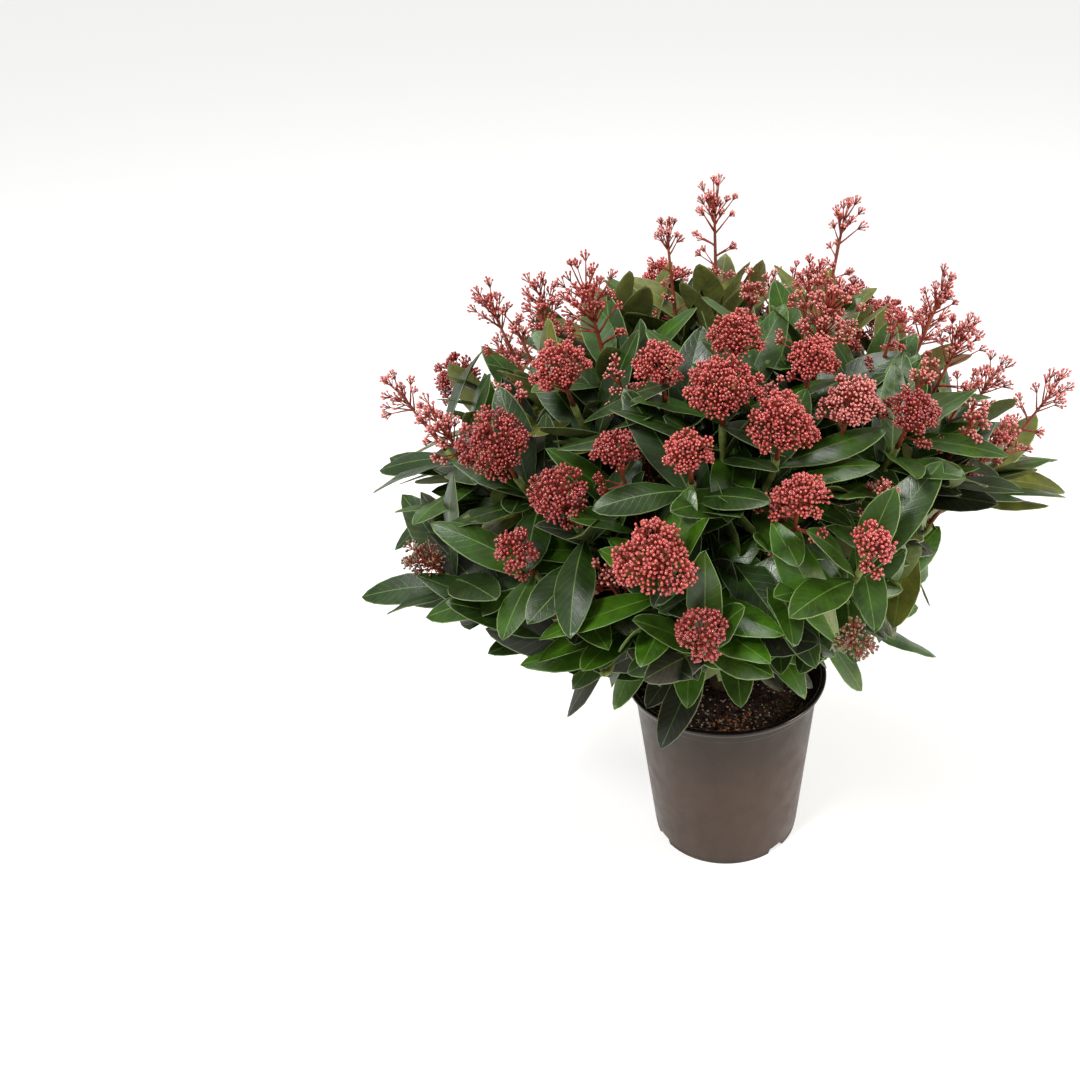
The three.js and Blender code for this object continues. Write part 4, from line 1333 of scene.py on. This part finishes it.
def make_twigs(masses, hanging, nodes):
    piece = Piece("twigs", [twig_finish("twig", OLD_TWIG), twig_finish("young_twig", YOUNG_TWIG)])
    sides = TWIG_SIDES
    for mass in masses:
        for shoot in mass.shoots:
            ends = MASS_STEM_RADII if shoot is mass.shoots[0] else TWIG_RADII
            shares = np.linspace(0, 1, len(shoot.fine))
            waves = np.sin(shares * path_length(shoot.fine) / LEAF_SPACING * math.pi)
            points, faces = tube(shoot.fine, between(ends, shares) * (1 + TWIG_KNOTS * waves**8), sides)
            finish = np.zeros(len(faces), int)
            finish[sides * (FINE_STEPS // 2):] = 1
            finish[-2 * sides:-sides] = 0
            piece.add(points, faces, finish)
    start = stem_point(HANGING_FORK)
    for leaf in hanging:
        way = unit(leaf.root - start + SKY * HANGING_RISE)
        path = bezier(start, way, leaf.root, leaf.along, TWIG_BEND, HANGING_STEPS)
        piece.add(*tube(path, HANGING_TWIG, HANGING_SIDES))
    piece.build("bark", nodes)


def stem_point(share):
    foot = SKY * STEM_FOOT
    bend = SKY * ((STEM_FOOT + STEM_TIP[2]) / 2)
    share = np.asarray(share)[..., None]
    return foot * (1 - share) ** 2 + 2 * bend * share * (1 - share) + STEM_TIP * share**2


def barked_tube(path, radii, sides, rng, relief):
    """A limb with bark: uneven ridges that run along it."""
    points, faces = tube(path, radii, sides)
    body = points[:-2]
    centres = np.repeat(path, sides, axis=0)
    ridges = ripple(rng, body * BARK_STRETCH, BARK_WAVES)
    body[:] = centres + (body - centres) * (1 + relief * ridges[:, None])
    return points, faces


def make_stem(rng, bark):
    shares = np.linspace(0, 1, STEM_RINGS)
    radii = between(STEM_RADII, shares) + ROOT_FLARE * np.exp(-shares / FLARE_SHARE)
    piece = Piece("stem_bark", [bark])
    piece.add(*barked_tube(stem_point(shares), radii, STEM_SIDES, rng, STEM_RELIEF))
    piece.build("bark", ["stem"])


def make_boughs(masses, rng, bark):
    """The boughs, each with low rings where leaves once sat."""
    piece = Piece("boughs_bark", [bark])
    for mass in masses:
        base = stem_point((mass.bough_height - STEM_FOOT) / (STEM_TIP[2] - STEM_FOOT))
        tip = HEART + mass.way * (LIMB_REACH + GAP)
        elbow = HEART + mass.way * (LIMB_REACH - BOUGH_BEND)
        path = bezier(base, unit(elbow - base), tip, mass.way, BOUGH_CURVE, BOUGH_STEPS)
        ends = (BOUGH_RADII[0] * BOUGH_COLLAR, MASS_STEM_RADII[0])
        rings = np.sin(np.linspace(0, BOUGH_RINGS, len(path)) * math.pi) ** 12
        radii = between(ends, np.linspace(0, 1, len(path))) * (1 + BOUGH_RING_HEIGHT * rings)
        piece.add(*barked_tube(path, radii, BOUGH_SIDES, rng, BOUGH_RELIEF))
    piece.build("bark", [f"bough_{mass.name}" for mass in masses])


# ---- Pot and soil ----

def rounded(corner, before, after, radius):
    """Points round a corner of a section, from the side of one neighbour to that of the other."""
    corner, before, after = (np.array(point, float) for point in (corner, before, after))
    start = corner + unit(before - corner) * radius
    end = corner + unit(after - corner) * radius
    s = np.linspace(0, 1, CORNER_STEPS)[:, None]
    return start * (1 - s) ** 2 + 2 * corner * s * (1 - s) + end * s**2


def pot_section():
    """The pot's section, rounded at its corners and with a point in each long stretch."""
    corners = [corner for corner, _ in POT_SECTION]
    line = []
    for i, (corner, radius) in enumerate(POT_SECTION):
        line += [corner] if radius == 0 else list(rounded(corner, corners[i - 1], corners[i + 1], radius))
    line = np.array(line, float)
    dense = [line[:1]]
    for start, end in zip(line[:-1], line[1:]):
        parts = max(1, int(np.linalg.norm(end - start) / PROFILE_STEP))
        dense.append(start + (end - start) * (np.arange(1, parts + 1) / parts)[:, None])
    return np.concatenate(dense)


def notch_ceiling(turns):
    """How high the notches reach at each turn: an arch in each of them, and elsewhere nothing."""
    half = math.asin(NOTCH_WIDTH / 2 / BASE_RADIUS)
    ceiling = np.zeros(len(turns))
    for notch in NOTCH_TURNS:
        apart = (turns - math.radians(notch - 90) + math.pi) % (2 * math.pi) - math.pi
        ceiling = np.maximum(ceiling, NOTCH_HEIGHT * (1 - np.clip(np.abs(apart) / half, 0, 1) ** 5))
    return ceiling


def make_pot():
    inner = pot_section()[1:-1]
    outside = np.arange(len(inner)) < np.argmax(inner[:, 1])
    notched = outside & (inner[:, 0] > BASE_RADIUS - NOTCH_DEPTH + 0.01)
    turns = full_turn(POT_SIDES)
    radius, height = (np.repeat(inner[:, i:i + 1], POT_SIDES, axis=1) for i in (0, 1))
    height = np.where(notched[:, None], np.maximum(height, notch_ceiling(turns)), height)
    points = np.stack([radius * np.cos(turns), radius * np.sin(turns), height], axis=2).reshape(-1, 3)
    points = np.concatenate([points, [[0, 0, 0], [0, 0, FLOOR]]])
    ring_radius, ring_height = ((inner[1:] + inner[:-1]) / 2).T
    # the glossy band at the top, coloured darker as painted shade
    rim = (ring_height > POT_HEIGHT - LIP_FINISH) & (ring_radius > SHOULDER_RADIUS - 1)
    foot = outside[1:] & (ring_height < FOOT_BAND)
    finish = np.where(rim, 1, np.where(foot, 2, 0))
    finish = np.concatenate([np.repeat(finish, POT_SIDES), np.zeros(2 * POT_SIDES, int)])
    piece = Piece("pot_plastic", [pot_finish(*row) for row in POT_FINISHES])
    piece.add(points, closed_rings(len(inner), POT_SIDES), finish)
    made = piece.build("pot", ["pot"])
    made.data.set_sharp_from_angle(angle=math.radians(SHARP_EDGE))


def inner_radius(height):
    return between((BASE_RADIUS, SHOULDER_RADIUS), height / (POT_HEIGHT - RIM_BAND)) - WALL


def soil_height(x, y):
    """The soil's surface: higher round the stem, with lumps."""
    out = np.hypot(x, y) / inner_radius(SOIL_TOP)
    lumps = ripple(np.random.default_rng(SOIL_SEED), np.stack([x, y, 0 * x], axis=1), SOIL_LUMPS)
    return SOIL_TOP - SOIL_EDGE_DROP * out**2 + LUMP_HEIGHT * lumps - SOIL_SINK


def make_soil():
    sides, rings = SOIL_SIDES, SOIL_RINGS
    turns = full_turn(sides)
    radii = np.linspace(0.5, inner_radius(SOIL_TOP - SOIL_EDGE_DROP) - SOIL_MARGIN, rings)
    x, y = (np.outer(radii, wave(turns)).ravel() for wave in (np.cos, np.sin))
    top = np.stack([x, y, soil_height(x, y)], axis=1)
    low, bed = inner_radius(FLOOR + 1) - 0.5, FLOOR + 0.5
    bottom = np.stack([low * np.cos(turns), low * np.sin(turns), np.full(sides, bed)], axis=1)
    middle = [[0, 0, soil_height(np.zeros(1), np.zeros(1))[0]], [0, 0, bed]]
    piece = Piece("soil_bed", [soil_finish()])
    piece.add(np.concatenate([top, bottom, middle]), closed_rings(rings + 1, sides, downwards=True))
    piece.build("soil", ["soil"])


def scatter(rng, count, centre=None, spread=None):
    """Places on the soil, all over it or round a centre, and clear of the stem."""
    edge = inner_radius(SOIL_TOP - SOIL_EDGE_DROP) - EDGE_CLEAR
    found = np.zeros((0, 2))
    while len(found) < count:
        if centre is None:
            tried = rng.uniform(-edge, edge, (count * 2, 2))
        else:
            tried = rng.normal(centre, spread, (count * 2, 2))
        out = np.linalg.norm(tried, axis=1)
        found = np.concatenate([found, tried[(out < edge) & (out > STEM_CLEAR)]])
    found = found[:count]
    return np.column_stack([found, soil_height(found[:, 0], found[:, 1])])


def make_grains(rng):
    """Perlite, bark chips, crumbs of peat, tufts of moss and a patch of fibres on the soil."""
    for name, rgb, roughness, count, size, flatness, *patch in GRAINS:
        places = scatter(rng, count, *patch)
        ways = units(rng.normal(0, GRAIN_TILT, (count, 3)) + SKY)
        long = between(size, rng.uniform(0, 1, count) ** 2)
        sizes = np.stack([long, long * rng.uniform(*GRAIN_WIDTHS, count), long * flatness], axis=1)
        places[:, 2] += GRAIN_RISE * long
        points, copies = stamped(GRAIN, places, frames_along(ways), sizes)
        points += rng.normal(0, GRAIN_JITTER, points.shape) * np.repeat(long, len(GRAIN[0]))[:, None]
        piece = Piece(name, [grain_finish(name, rgb, roughness)], smooth=False)
        piece.add(points, copies)
        piece.build("soil", ["soil"])


# ---- Studio ----

def make_floor():
    """A white sweep that glows a little itself, so that the shadows on it stay faint."""
    mesh = bpy.data.meshes.new("studio_floor")
    half = FLOOR_SIZE / 2
    corners = [(-half, -half, 0), (half, -half, 0), (half, half, 0), (-half, half, 0)]
    mesh.from_pydata(corners, [], [(0, 1, 2, 3)])
    floor = bpy.data.objects.new("studio_floor", mesh)
    bpy.context.scene.collection.objects.link(floor)
    glow = {"Emission_Color": (1, 1, 1, 1), "Emission_Strength": FLOOR_GLOW}
    mesh.materials.append(Finish("studio_floor", FLOOR_COLOUR, Roughness=0.9, **glow).material)


def add_area_light(name, place, target, size, power, rgb):
    data = bpy.data.lights.new(name, "AREA")
    data.shape = "DISK"
    data.size = size
    data.energy = power
    data.color = linear(rgb)[:3]
    light = bpy.data.objects.new(name, data)
    light.location = place
    light.rotation_euler = (Vector(target) - Vector(place)).to_track_quat("-Z", "Y").to_euler()
    bpy.context.scene.collection.objects.link(light)


def light_studio():
    world = bpy.data.worlds.new("studio")
    world.use_nodes = True
    sky = world.node_tree.nodes["Background"]
    sky.inputs["Color"].default_value = (1, 1, 1, 1)
    sky.inputs["Strength"].default_value = SKY_STRENGTH
    bpy.context.scene.world = world
    for light in LIGHTS:
        add_area_light(*light)


def add_camera():
    data = bpy.data.cameras.new("camera")
    data.sensor_width = SENSOR
    data.lens = SENSOR * FOCAL_PIXELS / PHOTO_SIZE
    data.shift_x = (PHOTO_SIZE / 2 - AXIS_PIXEL) / PHOTO_SIZE
    data.clip_start, data.clip_end = CLIP
    camera = bpy.data.objects.new("camera", data)
    camera.location = Vector(EYE) * MM
    camera.rotation_euler = (math.radians(90 - PITCH_DOWN), 0, 0)
    bpy.context.scene.collection.objects.link(camera)
    bpy.context.scene.camera = camera
    bpy.context.scene.view_settings.view_transform = "Standard"


def build():
    rng = np.random.default_rng(SEED)
    masses = plan_masses()
    add_small_heads(masses)
    add_young_head(masses)
    add_inner_shoots(masses)
    crowd = Crowd(masses)
    for mass in masses:
        lay_twigs(mass)
    nodes = [f"mass_{mass.name}" for mass in masses]
    hanging = hanging_leaves()
    make_leaves(grow_leaves(masses, crowd) + hanging, nodes)
    make_heads(masses, rng, nodes)
    make_twigs(masses, hanging, nodes)
    bark = bark_finish()
    make_stem(rng, bark)
    make_boughs(masses, rng, bark)
    make_pot()
    make_soil()
    make_grains(rng)
    make_floor()
    light_studio()
    add_camera()


build()
